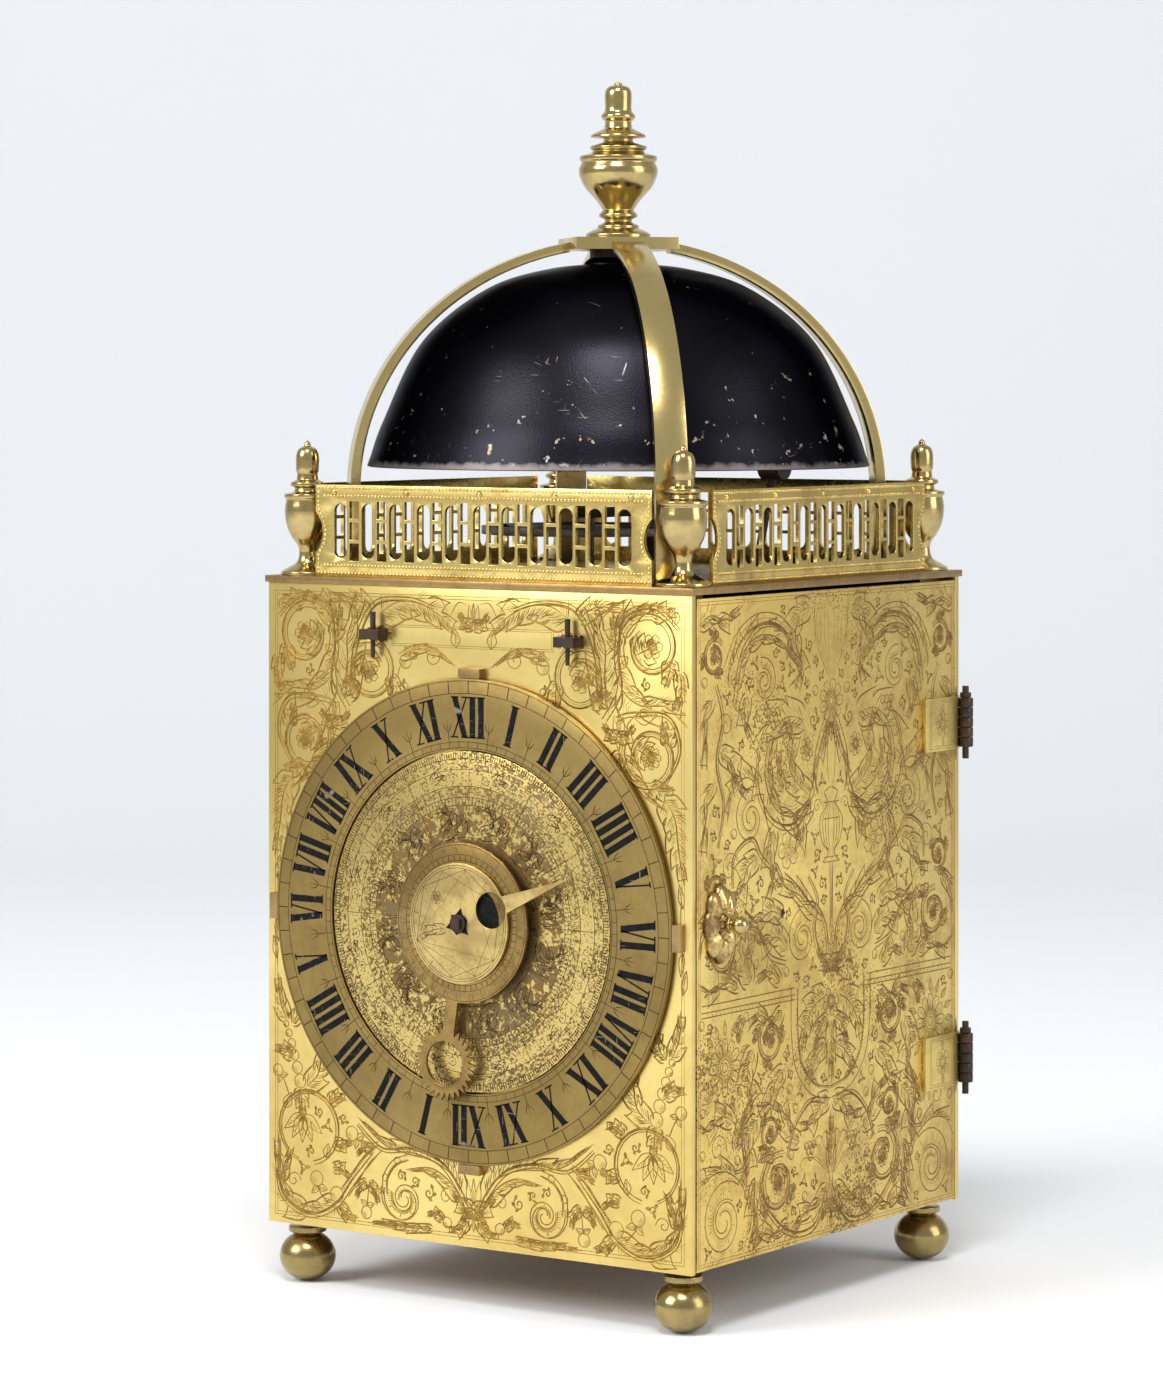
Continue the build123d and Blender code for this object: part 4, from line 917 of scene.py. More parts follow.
        for side in (1, -1):
            self.line(smooth_path([(u, v), place(0.4, side), place(1.0, 0.0)], 4), self.pen)
        self.line([(u, v), place(0.8, 0.0)], self.pen * 0.7)
        for share in (0.2, 0.36, 0.52, 0.66):
            self.line([place(share, 0.0), place(share + 0.12, 0.75 * (1 - share * 0.5))],
                      self.pen * 0.5)

    def rosette(self, u, v, radius, petals):
        """An open flower seen from the front."""
        self.ring(u, v, radius * 0.28)
        self.ring(u, v, radius * 0.16)
        for number in range(petals):
            angle = 360 * number / petals
            spread = 180 / petals * 0.92
            points = []
            for turn, reach in ((-spread * 0.6, 0.34), (-spread, 0.72), (-spread * 0.4, 0.97),
                                (0, 0.92), (spread * 0.4, 0.97), (spread, 0.72),
                                (spread * 0.6, 0.34)):
                points.append(polar(u, v, radius * reach, math.radians(angle + turn)))
            self.curve(points, taper=False, steps=3)
            for turn, reach in ((-spread * 0.4, 0.6), (0, 0.78), (spread * 0.4, 0.6)):
                heading = math.radians(angle + turn)
                self.line([polar(u, v, radius * 0.34, heading),
                           polar(u, v, radius * reach, heading)], self.pen * 0.6)

    def shell(self, u, v, radius, start, hand=1, turns=1.9):
        """A nautilus shell: a wide spiral band with ribs and a notched edge."""
        outer = self.spiral(u, v, radius, turns, start, hand, self.pen * 1.3)
        half = int(len(outer) * 0.66)
        inner = [(u + (pu - u) * 0.56, v + (pv - v) * 0.56) for pu, pv in outer]
        self.line(inner[:half], self.pen)
        for index in range(half):
            a, b = outer[index], inner[index]
            deep = 0.75 if index % 3 == 0 else 0.45
            for gap in (0.0, 0.5):
                c, d = outer[min(index + 1, half)], inner[min(index + 1, half)]
                rim = (a[0] + (c[0] - a[0]) * gap, a[1] + (c[1] - a[1]) * gap)
                low = (b[0] + (d[0] - b[0]) * gap, b[1] + (d[1] - b[1]) * gap)
                self.line([low,
                           (low[0] + (rim[0] - low[0]) * deep, low[1] + (rim[1] - low[1]) * deep)],
                          self.pen * 0.55)
                deep = 0.4
        return outer

    def roundel(self, u, v, radius, start, hand=1, head=6):
        """A leafy scroll: a stem that curls round a flower, with acanthus leaves on its outside."""
        path = self.stem(self.spiral(u, v, radius, 1.25, start, hand, self.pen * 0.6, 0.5),
                         radius * 0.2, 0.5, -hand)
        count = len(path)
        for share, length in ((0.08, 0.62), (0.3, 0.56), (0.52, 0.5)):
            index = int(share * count)
            base = path[index]
            normal = side_of(path, index)
            out_u, out_v = -hand * normal[0], -hand * normal[1]
            along_u, along_v = normal[1], -normal[0]
            reach = radius * length
            self.leaf([base, (base[0] + out_u * reach * 0.3 + along_u * reach * 0.5,
                              base[1] + out_v * reach * 0.3 + along_v * reach * 0.5),
                       (base[0] + out_u * reach * 0.38 + along_u * reach * 1.3,
                        base[1] + out_v * reach * 0.38 + along_v * reach * 1.3)], radius * 0.17, 4,
                      hatch=2)
        index = int(count * 0.8)
        base = path[index]
        beyond = (u * 1.35 - base[0] * 0.35, v * 1.35 - base[1] * 0.35)
        self.leaf([base, ((base[0] + u) / 2, (base[1] + v) / 2), beyond], radius * 0.3, 4)
        self.rosette(u * 1.12 - base[0] * 0.12, v * 1.12 - base[1] * 0.12, radius * 0.34, head)
        return path

    def tulip(self, u, v, height, up=1):
        """A tulip on a calyx of two leaves, upright or hanging."""
        for side in (-1, 1):
            self.curve([(u, v), (u + side * height * 0.3, v + up * height * 0.35),
                        (u + side * height * 0.26, v + up * height)])
        self.curve([(u - height * 0.26, v + up * height),
                    (u - height * 0.1, v + up * height * 0.62), (u, v + up * height * 1.05),
                    (u + height * 0.1, v + up * height * 0.62),
                    (u + height * 0.26, v + up * height)], steps=4)
        for shift in (-0.14, -0.07, 0.0, 0.07, 0.14):
            self.line([(u + height * shift * 0.4, v + up * height * 0.1),
                       (u + height * shift, v + up * height * 0.66)], self.pen * 0.55)
        for side in (1, -1):
            self.leaf([(u, v), (u + side * height * 0.45, v + up * height * 0.05),
                       (u + side * height * 0.8, v + up * height * 0.5)], height * 0.2, 3)

    def grapes(self, u, v, size, rows=4):
        """A hanging cluster of berries."""
        for row in range(rows):
            count = rows - row
            for place in range(count):
                self.berry(u + (place - (count - 1) / 2) * size * 1.9, v - row * size * 1.6, size)

    def kept(self, half_u, low_v, high_v, inset=0.8):
        """Drops the strokes that would run off the plate."""
        self.strokes = [(points, closed) for points, closed in self.strokes if all(
            abs(u) < half_u - inset and low_v + inset < v < high_v - inset for u, v, _ in points)]
        return self

    def text(self, text, place, angle, height):
        """Plain digits about a place, turned by an angle in radians, with their feet inwards."""
        across = height * 0.62
        for number, sign in enumerate(text):
            offset = (number - len(text) / 2) * across
            for stroke in DIGITS[sign]:
                points = []
                for du, dv in stroke:
                    a = offset + du * across * 0.8
                    b = (dv - 0.5) * height
                    points.append((place[0] + a * math.cos(angle) - b * math.sin(angle),
                                   place[1] + a * math.sin(angle) + b * math.cos(angle)))
                self.line(points, self.pen * 0.85)

    def mirror(self):
        """Adds the mirror image of every stroke that was drawn so far."""
        self.strokes += [([(-u, v, half) for u, v, half in points], closed)
                         for points, closed in self.strokes]
        return self


# Compositions
def framed(drawing, half_u, low_v, high_v, inset=2.5):
    """A double border line inside the edges of a face."""
    for gap in (inset, inset + 0.9):
        u = half_u - gap
        drawing.line([(-u, low_v + gap), (u, low_v + gap), (u, high_v - gap), (-u, high_v - gap)],
                     drawing.pen * 0.8, closed=True)


def front_upper():
    """Leafy scrolls above the dial, with a bare label and the studs among them."""
    half = Drawing(0.2)
    half.roundel(61, 192.5, 10.6, 215, -1)
    half.roundel(60.8, 162, 9.8, 145, 1, 8)
    half.roundel(37.6, 182.6, 9.6, 60, 1, 5)
    half.vine([(45.4, 171.4), (50.6, 180), (49.6, 190), (52, 201), (62.6, 204), (71, 197.6)], 1.7,
              0.5, -1)
    half.vine([(49.6, 172), (55, 173.6), (67, 173.4), (71, 164), (66, 154)], 1.4, 0.5)
    half.vine([(44, 176), (42.6, 190), (36, 202), (24, 204), (14, 201.6)], 1.6, 0.5)
    half.leaf([(47, 173.4), (45.6, 183), (45.8, 192), (43.6, 198.5), (47.4, 202.4)], 3.6, 6)
    half.leaf([(50.6, 196), (54.5, 201), (61, 204)], 2, 4)
    half.leaf([(33.5, 199.5), (27, 203), (19, 202.8), (11.6, 199.2), (7.4, 195.6)], 4, 7)
    half.leaf([(36.5, 199.6), (42, 203.2), (48, 203.6), (52, 205)], 1.9, 5)
    half.leaf([(27, 187.8), (21, 190.6), (14, 190), (8, 186.4)], 2.1, 6, (1,))
    half.leaf([(49, 187), (52, 180), (58, 176.2), (66, 176.4), (71, 172.6)], 3.2, 6)
    half.leaf([(71, 186), (71.6, 180), (69, 176)], 1.5, 4)
    half.tulip(50.4, 167, 6.2)
    half.leaf([(49, 167), (52, 160), (58, 151.8), (64, 148)], 2.6, 6, (1,))
    half.leaf([(66, 150.5), (69.4, 145), (70.6, 137), (72, 128)], 3, 7)
    half.spiral(14.8, 187.4, 3.4, 1.4, 110, 1)
    half.stalk([(16, 191), (20.6, 190.4), (23.2, 187.4)], 2.1)
    half.stalk([(26.4, 184), (27, 181), (25.2, 179.2)], 1)
    half.sprig(53.6, 189.6, 6, 218)
    half.sprig(45.2, 180.2, 6.4, 108)
    half.sprig(56, 172.4, 7.6, 12)
    half.sprig(6.2, 190.2, 5.6, 84)
    half.sprig(52.4, 200.6, 5.6, 150)
    half.sprig(70.4, 202.8, 4.6, 250)
    half.curve([(9.4, 200.6), (12, 204.2), (17, 205.2)])
    half.curve([(8.4, 199), (5.6, 203.2), (2.4, 202.8)])
    for v, turn in ((120, 100), (108, 265), (96, 80)):
        half.sprig(72, v, 7, turn, 1)
    half.curve([(72, 127), (71.2, 116), (72.2, 104), (71.4, 90)])
    drawing = half.mirror()
    drawing.tulip(0, 196.8, 6.2)
    return drawing


def front_lower():
    """Flowers, berries, shells, horns and leaves below the dial."""
    half = Drawing(0.2)
    ring = [(60 + 10.6 * math.cos(math.radians(a)), 47 + 10.4 * math.sin(math.radians(a)))
            for a in range(-70, 261, 15)]
    half.stem(list(reversed(ring)), 1.1, 0.6)
    for turn in (-142, -112, -88, -62, -36):
        half.sprig(62, 51, 8.8, turn, 1.7)
    half.leaf([(63, 58.4), (62.6, 55), (62.2, 50.6)], 1.7, 3)
    for share in range(6):
        half.berry(63.2 + 1.05 * share, 60.4 + 4.1 * share - 0.16 * share ** 2, 2.1 - 0.22 * share)
    half.leaf([(61, 59), (56.6, 63), (55.6, 69.6), (57.6, 74.6)], 2.3, 5)
    half.leaf([(65.8, 67.2), (69.4, 69.4), (72.2, 68.6)], 1.5, 3)
    half.leaf([(68.2, 78), (70.6, 83), (71.6, 90)], 1.8, 5)
    half.leaf([(66.6, 77.4), (64, 80.4), (64.6, 84.6)], 1.5, 3)
    half.stalk([(67.4, 56), (69, 59.6), (70.4, 61.6)], 1.8)
    half.leaf([(50.6, 43.6), (47.4, 43), (44.4, 44.4)], 1.3, 3)
    half.leaf([(52.6, 55.4), (49, 57.2), (46.6, 56.6)], 1.4, 3)
    half.sprig(69, 52, 5.4, 118)
    half.leaf([(49.6, 26.4), (55.6, 22.4), (62.6, 22.6), (68.6, 26), (71.4, 33), (71.6, 42)], 2.6,
              9)
    half.spiral(65.6, 31, 2.7, 1.3, 180, -1)
    half.stalk([(53, 25.4), (55.6, 28), (56.4, 30)], 2.3)
    half.berry(49.6, 28.2, 2.4)
    half.leaf([(48.6, 25.6), (45.6, 22.6), (42.6, 22.4)], 1.3, 3)
    horn = smooth_path([(33.4, 43.6), (38.4, 39.4), (42.6, 34), (46.6, 29)])
    half.stem(horn, 2, 1.7)
    half.leaf([(51, 36), (48, 36.2), (45.4, 34)], 1.2, 3)
    half.leaf([(70.2, 30.6), (68.8, 36), (66.4, 39.8)], 1.4, 4)
    half.stalk([(34.4, 45), (39.4, 44), (42.2, 45.4)], 2.2)
    half.leaf([(36, 42.4), (39.4, 43), (41.6, 40.6)], 1, 3)
    half.stalk([(37.4, 33.6), (38, 29.4), (38.4, 26)], 1.9)
    half.leaf([(37.6, 33), (35.2, 30.6), (34.6, 27.4)], 1.1, 3)
    half.leaf([(38.4, 33), (41.2, 31), (41.8, 28.4)], 1, 3)
    half.shell(24.9, 29.4, 7.6, 20, -1, 1.7)
    half.shell(24.9, 29.4, 8.8, 20, -1, 1)
    half.vine([(1.6, 26), (4.6, 33), (11.6, 40.6), (22, 43.6), (33, 43), (42, 49.6)], 1.5, 0.5)
    half.vine([(35.4, 41.4), (43, 33), (50, 24.6), (60, 21), (70, 26), (72.4, 38)], 1.5, 0.5)
    band = smooth_path([(31.8, 30), (31.8, 35), (28.6, 39.6), (23.6, 41.6)])
    half.stem(band, 1.6, 1)
    for index in (8, 18):
        half.ring(band[index][0], band[index][1], 1.1)
    half.leaf([(4.4, 33), (8.6, 38.6), (15.6, 41.6), (24, 42.6), (32, 44.4), (39.6, 49.6)], 2.7, 9,
              (1,))
    half.leaf([(4.4, 31.4), (9, 36.4), (15, 39.2), (22, 38.6)], 2.2, 6, (-1,))
    half.spiral(9.8, 31.6, 2.2, 1.2, 90, -1)
    half.leaf([(1.6, 25.4), (5, 22.4), (8.8, 22.6)], 1.2, 3)
    half.berry(9.4, 24.2, 1.6)
    half.leaf([(11, 24.6), (13.6, 26.4), (16, 25.4)], 1, 3)
    half.leaf([(14.6, 21.8), (22, 21.2), (30, 21.6), (36, 21.2)], 0.9, 7)
    half.sprig(53.6, 38.6, 4.4, 100)
    drawing = half.mirror()
    drawing.tulip(0, 29, 8.4)
    drawing.tulip(0, 27.6, 5, -1)
    return drawing


def taken_cells(drawings):
    """The millimetre cells that the strokes of some drawings pass through."""
    cells = set()
    for points, closed in (stroke for drawing in drawings for stroke in drawing.strokes):
        ends = points[1:] + points[:1] if closed else points[1:]
        for (u, v, _), (end_u, end_v, _) in zip(points, ends):
            pieces = max(1, int(math.dist((u, v), (end_u, end_v))))
            for piece in range(pieces + 1):
                share = piece / pieces
                cells.add((round(u + (end_u - u) * share), round(v + (end_v - v) * share)))
    return cells


def disc_cells(u, v, radius):
    """The cells of a disc."""
    reach = range(-int(radius) - 1, int(radius) + 2)
    return {(round(u) + du, round(v) + dv) for du in reach for dv in reach
            if math.hypot(du, dv) <= radius}


def box_cells(low_u, high_u, low_v, high_v):
    """The cells of a box, whose high sides are left out."""
    return {(u, v) for u in range(low_u, high_u) for v in range(low_v, high_v)}


def motif(drawing, number, u, v, radius):
    """One small filling: every third is a berry with three sprigs, the others are leafy curls."""
    turn = 137 * number % 360
    if number % 3 == 0:
        drawing.berry(u, v, radius * 0.42)
        for spread in (0, 120, 240):
            place = polar(u, v, radius * 0.46, math.radians(turn + spread))
            drawing.sprig(*place, radius * 0.75, turn + spread, radius * 0.2)
        return
    hand = 1 if number % 2 else -1
    path = drawing.spiral(u, v, radius * 0.72, 1.3, turn, hand, drawing.pen * 1.5, 0.15)
    for index, lean in ((0, 70), (4, 60), (8, 50)):
        base = path[index]
        out = math.degrees(math.atan2(base[1] - v, base[0] - u))
        drawing.sprig(*base, radius * 0.55, out - hand * lean, radius * 0.16)


def fill_gaps(drawing, cells, high_u, low_v, high_v, least=2.3, most=4.6):
    """Small motifs wherever the drawings leave room, alike on both sides."""
    near = sorted((math.hypot(du, dv), du, dv) for du in range(-5, 6) for dv in range(-5, 6))
    motifs = Drawing(drawing.pen)
    number = 0
    for want in (most, (most + least) / 2, least):
        for v in range(int(low_v) + 1, int(high_v)):
            for u in range(2, int(high_u)):
                room = next((gap for gap, du, dv in near if (u + du, v + dv) in cells), 5.5)
                room = min(room, u + 0.6, high_u - u + 0.6, v - low_v + 0.6, high_v - v + 0.6)
                if room >= want:
                    number += 1
                    motif(motifs, number, u, v, room * 0.72)
                    cells |= disc_cells(u, v, room * 0.8)
    drawing.strokes += motifs.mirror().strokes


def door_drawings():
    """The three drawings of a door, with the gaps between their large forms filled."""
    drawings = [door_upper(), door_middle(), door_lower()]
    cells = taken_cells(drawings) | disc_cells(BOSS_Y, BOSS_Z, 12)
    for centre in HINGE_ZS:
        cells |= box_cells(53, 75, round(centre) - 9, round(centre) + 10)
    lows = (DOOR_UPPER_Z, DOOR_LOWER_Z, DOOR_LOW[2] + 2.5)
    highs = (DOOR_HIGH[2] - 2.5, DOOR_UPPER_Z, DOOR_LOWER_Z)
    for drawing, low_v, high_v in zip(drawings, lows, highs):
        fill_gaps(drawing, cells, DOOR_HIGH[1] - 2.5, low_v, high_v)
    return drawings


def front_drawings():
    """The drawings above and below the dial, with the gaps between their large forms filled."""
    upper, lower = front_upper(), front_lower()
    cells = taken_cells((upper, lower)) | disc_cells(0, DIAL_Z, 74) | disc_cells(38, 193, 6)
    cells |= box_cells(0, 34, 187, 199)
    fill_gaps(upper, cells, CASE_HALF - 4, DIAL_Z, PLATE_HIGH_Z - 4)
    fill_gaps(lower, cells, CASE_HALF - 4, PLATE_LOW_Z + 4, DIAL_Z)
    return upper, lower


def label_drawing():
    """The bare label above the dial, with rolled ends."""
    drawing = Drawing(0.15)
    for grow in (0, 0.6):
        drawing.line([(-28.6 - grow, 190.8 - grow), (27.4 + grow, 190.8 - grow),
                      (27.4 + grow, 195.6 + grow), (-28.6 - grow, 195.6 + grow)], closed=True)
    for side, u in ((-1, -30.2), (1, 29)):
        drawing.spiral(u + side * 1.2, 194.6, 1.7, 1.2, 90, -side)
        drawing.spiral(u + side * 1.2, 191.6, 1.7, 1.2, -90, side)
    return drawing


def brick_strap(drawing, path, breadth):
    """A ribbon with the joints of bricks drawn on it."""
    path = smooth_path(path, 7)
    drawing.stem(path, breadth, 0.9)
    drawing.line(path, drawing.pen * 0.7)
    for index in range(2, len(path) - 2, 2):
        normal = side_of(path, index)
        hand = 1 if index % 4 else -1
        (u, v) = path[index]
        reach = hand * breadth * 0.46
        drawing.line([(u, v), (u + normal[0] * reach, v + normal[1] * reach)], drawing.pen * 0.8)


def crescent(drawing, u, v, radius, start, sweep):
    """A thick leafy crescent round a point. Angles are in degrees."""
    arc = [polar(u, v, radius, math.radians(start + sweep * step / 6)) for step in range(7)]
    hand = 1 if sweep > 0 else -1
    drawing.leaf(arc, radius * 0.24, 11, (hand, -hand), 2)
    for reach in (0.86, 0.8):
        drawing.line([(u + (pu - u) * reach, v + (pv - v) * reach) for pu, pv in
                     smooth_path(arc, 3)], drawing.pen * 0.8, True)


def door_upper():
    """The hung panel, ribbons, rosette, crescents and urn on the upper part of a door."""
    half = Drawing(0.19)
    half.line([(9.5, 203.6), (9, 196.4), (8.4, 191.8)])
    half.curve([(8.4, 191.8), (5, 186), (0.6, 180.6)])
    for share in (0.2, 0.45, 0.7, 0.95):
        half.line([(9 * share, 203), (8 * share, 192.4), (1 * share, 181.6)], 0.11, True)
    brick_strap(half, [(56, 186), (50, 194.6), (40, 199.4), (29, 198.6), (20.6, 193.6)], 3.4)
    half.leaf([(53, 180), (49, 189), (40, 194.6), (29, 193.6), (19, 186.4)], 2.6, 9, (1, -1), 2)
    half.leaf([(11.6, 201.6), (17.6, 200), (19.6, 192), (15.6, 184.4), (20.6, 180.2)], 2.7, 7)
    half.shell(36.4, 181.4, 7.4, 75, 1, 1.6)
    half.leaf([(45, 178), (47, 172), (43.6, 166.6)], 1.9, 4)
    half.leaf([(70.4, 199), (64, 201.6), (57, 200), (50, 202.8)], 2.1, 6)
    half.roundel(62.6, 189.6, 5.6, 140, -1, 6)
    half.vine([(61.6, 182), (58, 172), (61, 160), (57.6, 148), (60.6, 136)], 1.2, 0.6, steps=9)
    half.spiral(56.6, 170.2, 4, 1.5, 20, 1)
    half.leaf([(63, 178), (67.8, 173.6), (67, 166), (70, 160)], 1.8, 5)
    half.leaf([(59.6, 163), (53.6, 160), (50, 153), (44.8, 151.6)], 2.1, 6)
    half.leaf([(62, 154.6), (67.6, 150), (67, 142), (70.6, 136)], 1.9, 5)
    crescent(half, 21.4, 156.4, 14.6, 118, -250)
    half.vine([(1.6, 171), (7.6, 160), (10, 149), (19, 139.4), (31, 140.6), (39.6, 150), (39, 163),
              (33, 171)], 1.9, 0.5)
    half.vine([(52, 176), (48, 190), (38, 197.4), (26, 195.6), (19.6, 186)], 1.7, 0.5, -1, 8)
    half.vine([(30.6, 126.6), (38, 131.6), (43, 137), (52, 133), (53, 124)], 1.3, 0.5)
    half.leaf([(10.6, 146.6), (17, 150), (23, 156), (21, 163), (25.6, 168.6)], 2.7, 7)
    half.leaf([(26.4, 149), (29.4, 154.6), (28, 161)], 1.9, 4)
    half.rosette(13.6, 160.6, 3.6, 7)
    half.grapes(31.6, 172.6, 1.25, 3)
    half.spiral(17.6, 168, 2.6, 1.3, 250, -1)
    half.leaf([(2.6, 168.6), (5.6, 161), (9.8, 155.6), (8.2, 149)], 1.7, 6, (-1,))
    half.curve([(1.2, 170), (2.2, 158), (1.4, 150)])
    half.shell(43.6, 143, 9.4, 110, -1, 1.5)
    half.leaf([(38.6, 151), (45.6, 154.8), (52.6, 151.6), (55, 145)], 2.2, 6, (1,))
    half.rosette(23.4, 132.4, 5.6, 5)
    half.leaf([(31, 139), (33.4, 132), (31, 126), (35, 119.6)], 2.1, 6)
    half.leaf([(10.4, 144.6), (15, 140.6), (16, 134), (20.6, 141)], 1.9, 5)
    half.leaf([(39.6, 131.6), (45.6, 129), (48.6, 122.6), (55.6, 121.6)], 2.4, 6)
    half.spiral(54.6, 130, 4.8, 1.6, 170, -1)
    half.roundel(61.6, 124.4, 5, 240, 1, 5)
    for u, v in ((50.6, 175.4), (52.4, 139.4), (67.6, 182.8), (36.6, 163), (8.8, 177.4),
                 (28.6, 123.6)):
        half.berry(u, v, 1.5)
    drawing = half.mirror()
    drawing.rosette(0, 174, 6.6, 9)
    for turn in (-64, -32, 0, 32, 64):
        drawing.sprig(0, 167.6, 5.4, 270 + turn, 1.2)
    urn = [(0.4, 149), (3.6, 147.4), (2.2, 144.6), (6.2, 139.4), (5, 133.4), (1.8, 130.4),
           (2.6, 128.6), (4.6, 127.2)]
    for side in (1, -1):
        drawing.curve([(side * u, v) for u, v in urn], 0.24, False)
        for share in (0.25, 0.5, 0.75):
            drawing.curve([(side * u * share, v) for u, v in urn[2:6]])
        drawing.spiral(side * 7.8, 143.8, 2.4, 1.3, 180 if side > 0 else 0, -side)
    for v in (144.6, 139.8, 128.6, 127.2):
        drawing.line([(-4.2, v), (4.2, v)])
    return drawing


def door_middle():
    """Club-shaped leaves, scrolls, the level table edge and the looped strap on a door."""
    half = Drawing(0.19)
    half.vine([(4.6, 110.6), (11, 114), (19.6, 120.6), (26.4, 124.6)], 1.4, 2.6, steps=6)
    half.leaf([(9.6, 112), (17, 118.6), (25.6, 122), (30, 127.6)], 2, 6, (1, -1), 2)
    half.vine([(2, 100.6), (3.4, 108.6), (8.6, 115), (15.4, 116.4)], 1.2, 0.7, steps=6)
    half.shell(15.8, 106.2, 8.6, 80, -1, 1.6)
    half.vine([(1.4, 97), (6.6, 100.6), (9.6, 108.6), (7.6, 116.6), (12.6, 124)], 1.5, 0.5)
    half.vine([(24.6, 100), (33.6, 103), (39.6, 110.6), (49, 112.6)], 1.3, 0.5)
    half.leaf([(24, 103.6), (29.6, 108), (36.6, 106.4), (40, 111.6)], 2.4, 6)
    half.leaf([(26.4, 113.6), (33, 115.6), (40.6, 113), (46, 116.6)], 2.2, 6)
    half.leaf([(44, 95.6), (47, 102.6), (44.6, 109), (49.6, 114.6)], 2.6, 7)
    half.roundel(58.6, 107, 7.4, 80, 1, 7)
    half.leaf([(64, 118), (68.6, 113.6), (70.6, 106)], 1.6, 4)
    half.leaf([(49.6, 95.4), (56, 97.8), (63, 95.6), (70.4, 98.4)], 1.5, 6)
    half.leaf([(28, 94.6), (33.4, 98.6), (39.4, 96.4)], 1.7, 4)
    for rise in (89, 90.4, 92.4):
        half.line([(20, rise), (69, rise)], 0.22)
    for share in range(22):
        half.line([(21.4 + 2.1 * share, 89.2), (22 + 2.1 * share, 90.2)], 0.11)
    loop = smooth_path([(20, 92.4), (20, 80), (17.6, 69.6), (10, 62.2), (0, 60)], 9)
    half.stem(loop, 3.6, 0.95, -1)
    half.line([(u * 0.93, 60 + (v - 60) * 0.96 + 1.2) for u, v in loop], 0.13, True)
    half.leaf([(3, 88), (8.6, 86.4), (14, 81), (15.4, 74.6)], 3.2, 6)
    half.leaf([(2.4, 74), (7, 72), (11, 67.6), (8.6, 64.8)], 2.1, 5)
    half.leaf([(2, 82), (6.4, 79), (8.6, 73.6)], 1.6, 4)
    half.roundel(33, 79, 6.6, 70, -1, 6)
    half.leaf([(26.6, 87), (31.6, 83.6), (38.6, 86.6), (43.6, 83.6)], 1.8, 6)
    half.leaf([(42, 77.6), (45.4, 71), (42.6, 65), (46.4, 58.6)], 2.6, 6)
    half.rosette(57, 74, 8.6, 12)
    for number in range(16):
        half.sprig(*polar(57, 74, 8.9, math.tau * number / 16), 4.4, 22.5 * number, 0.9)
    half.leaf([(25.6, 69.6), (30.4, 66.4), (33.6, 60.6), (39.6, 60.6)], 2.2, 5)
    half.leaf([(47.6, 86.8), (50.4, 84), (49.4, 80.6)], 1.2, 3)
    for u, v in ((40.6, 101.4), (52.4, 119.6), (24.6, 97.6), (69, 87), (46, 87), (22.6, 63.6),
                 (68.6, 62.4)):
        half.berry(u, v, 1.4)
    drawing = half.mirror()
    drawing.stem([(0, 127 - 1.5 * step) for step in range(14)], 1.3, 0.7)
    drawing.tulip(0, 97.6, 8.6)
    drawing.tulip(0, 97, 5.2, -1)
    drawing.rosette(0, 86.4, 4.4, 9)
    drawing.leaf([(0, 81), (0, 75), (0, 69), (0, 64.6)], 1.8, 5)
    return drawing


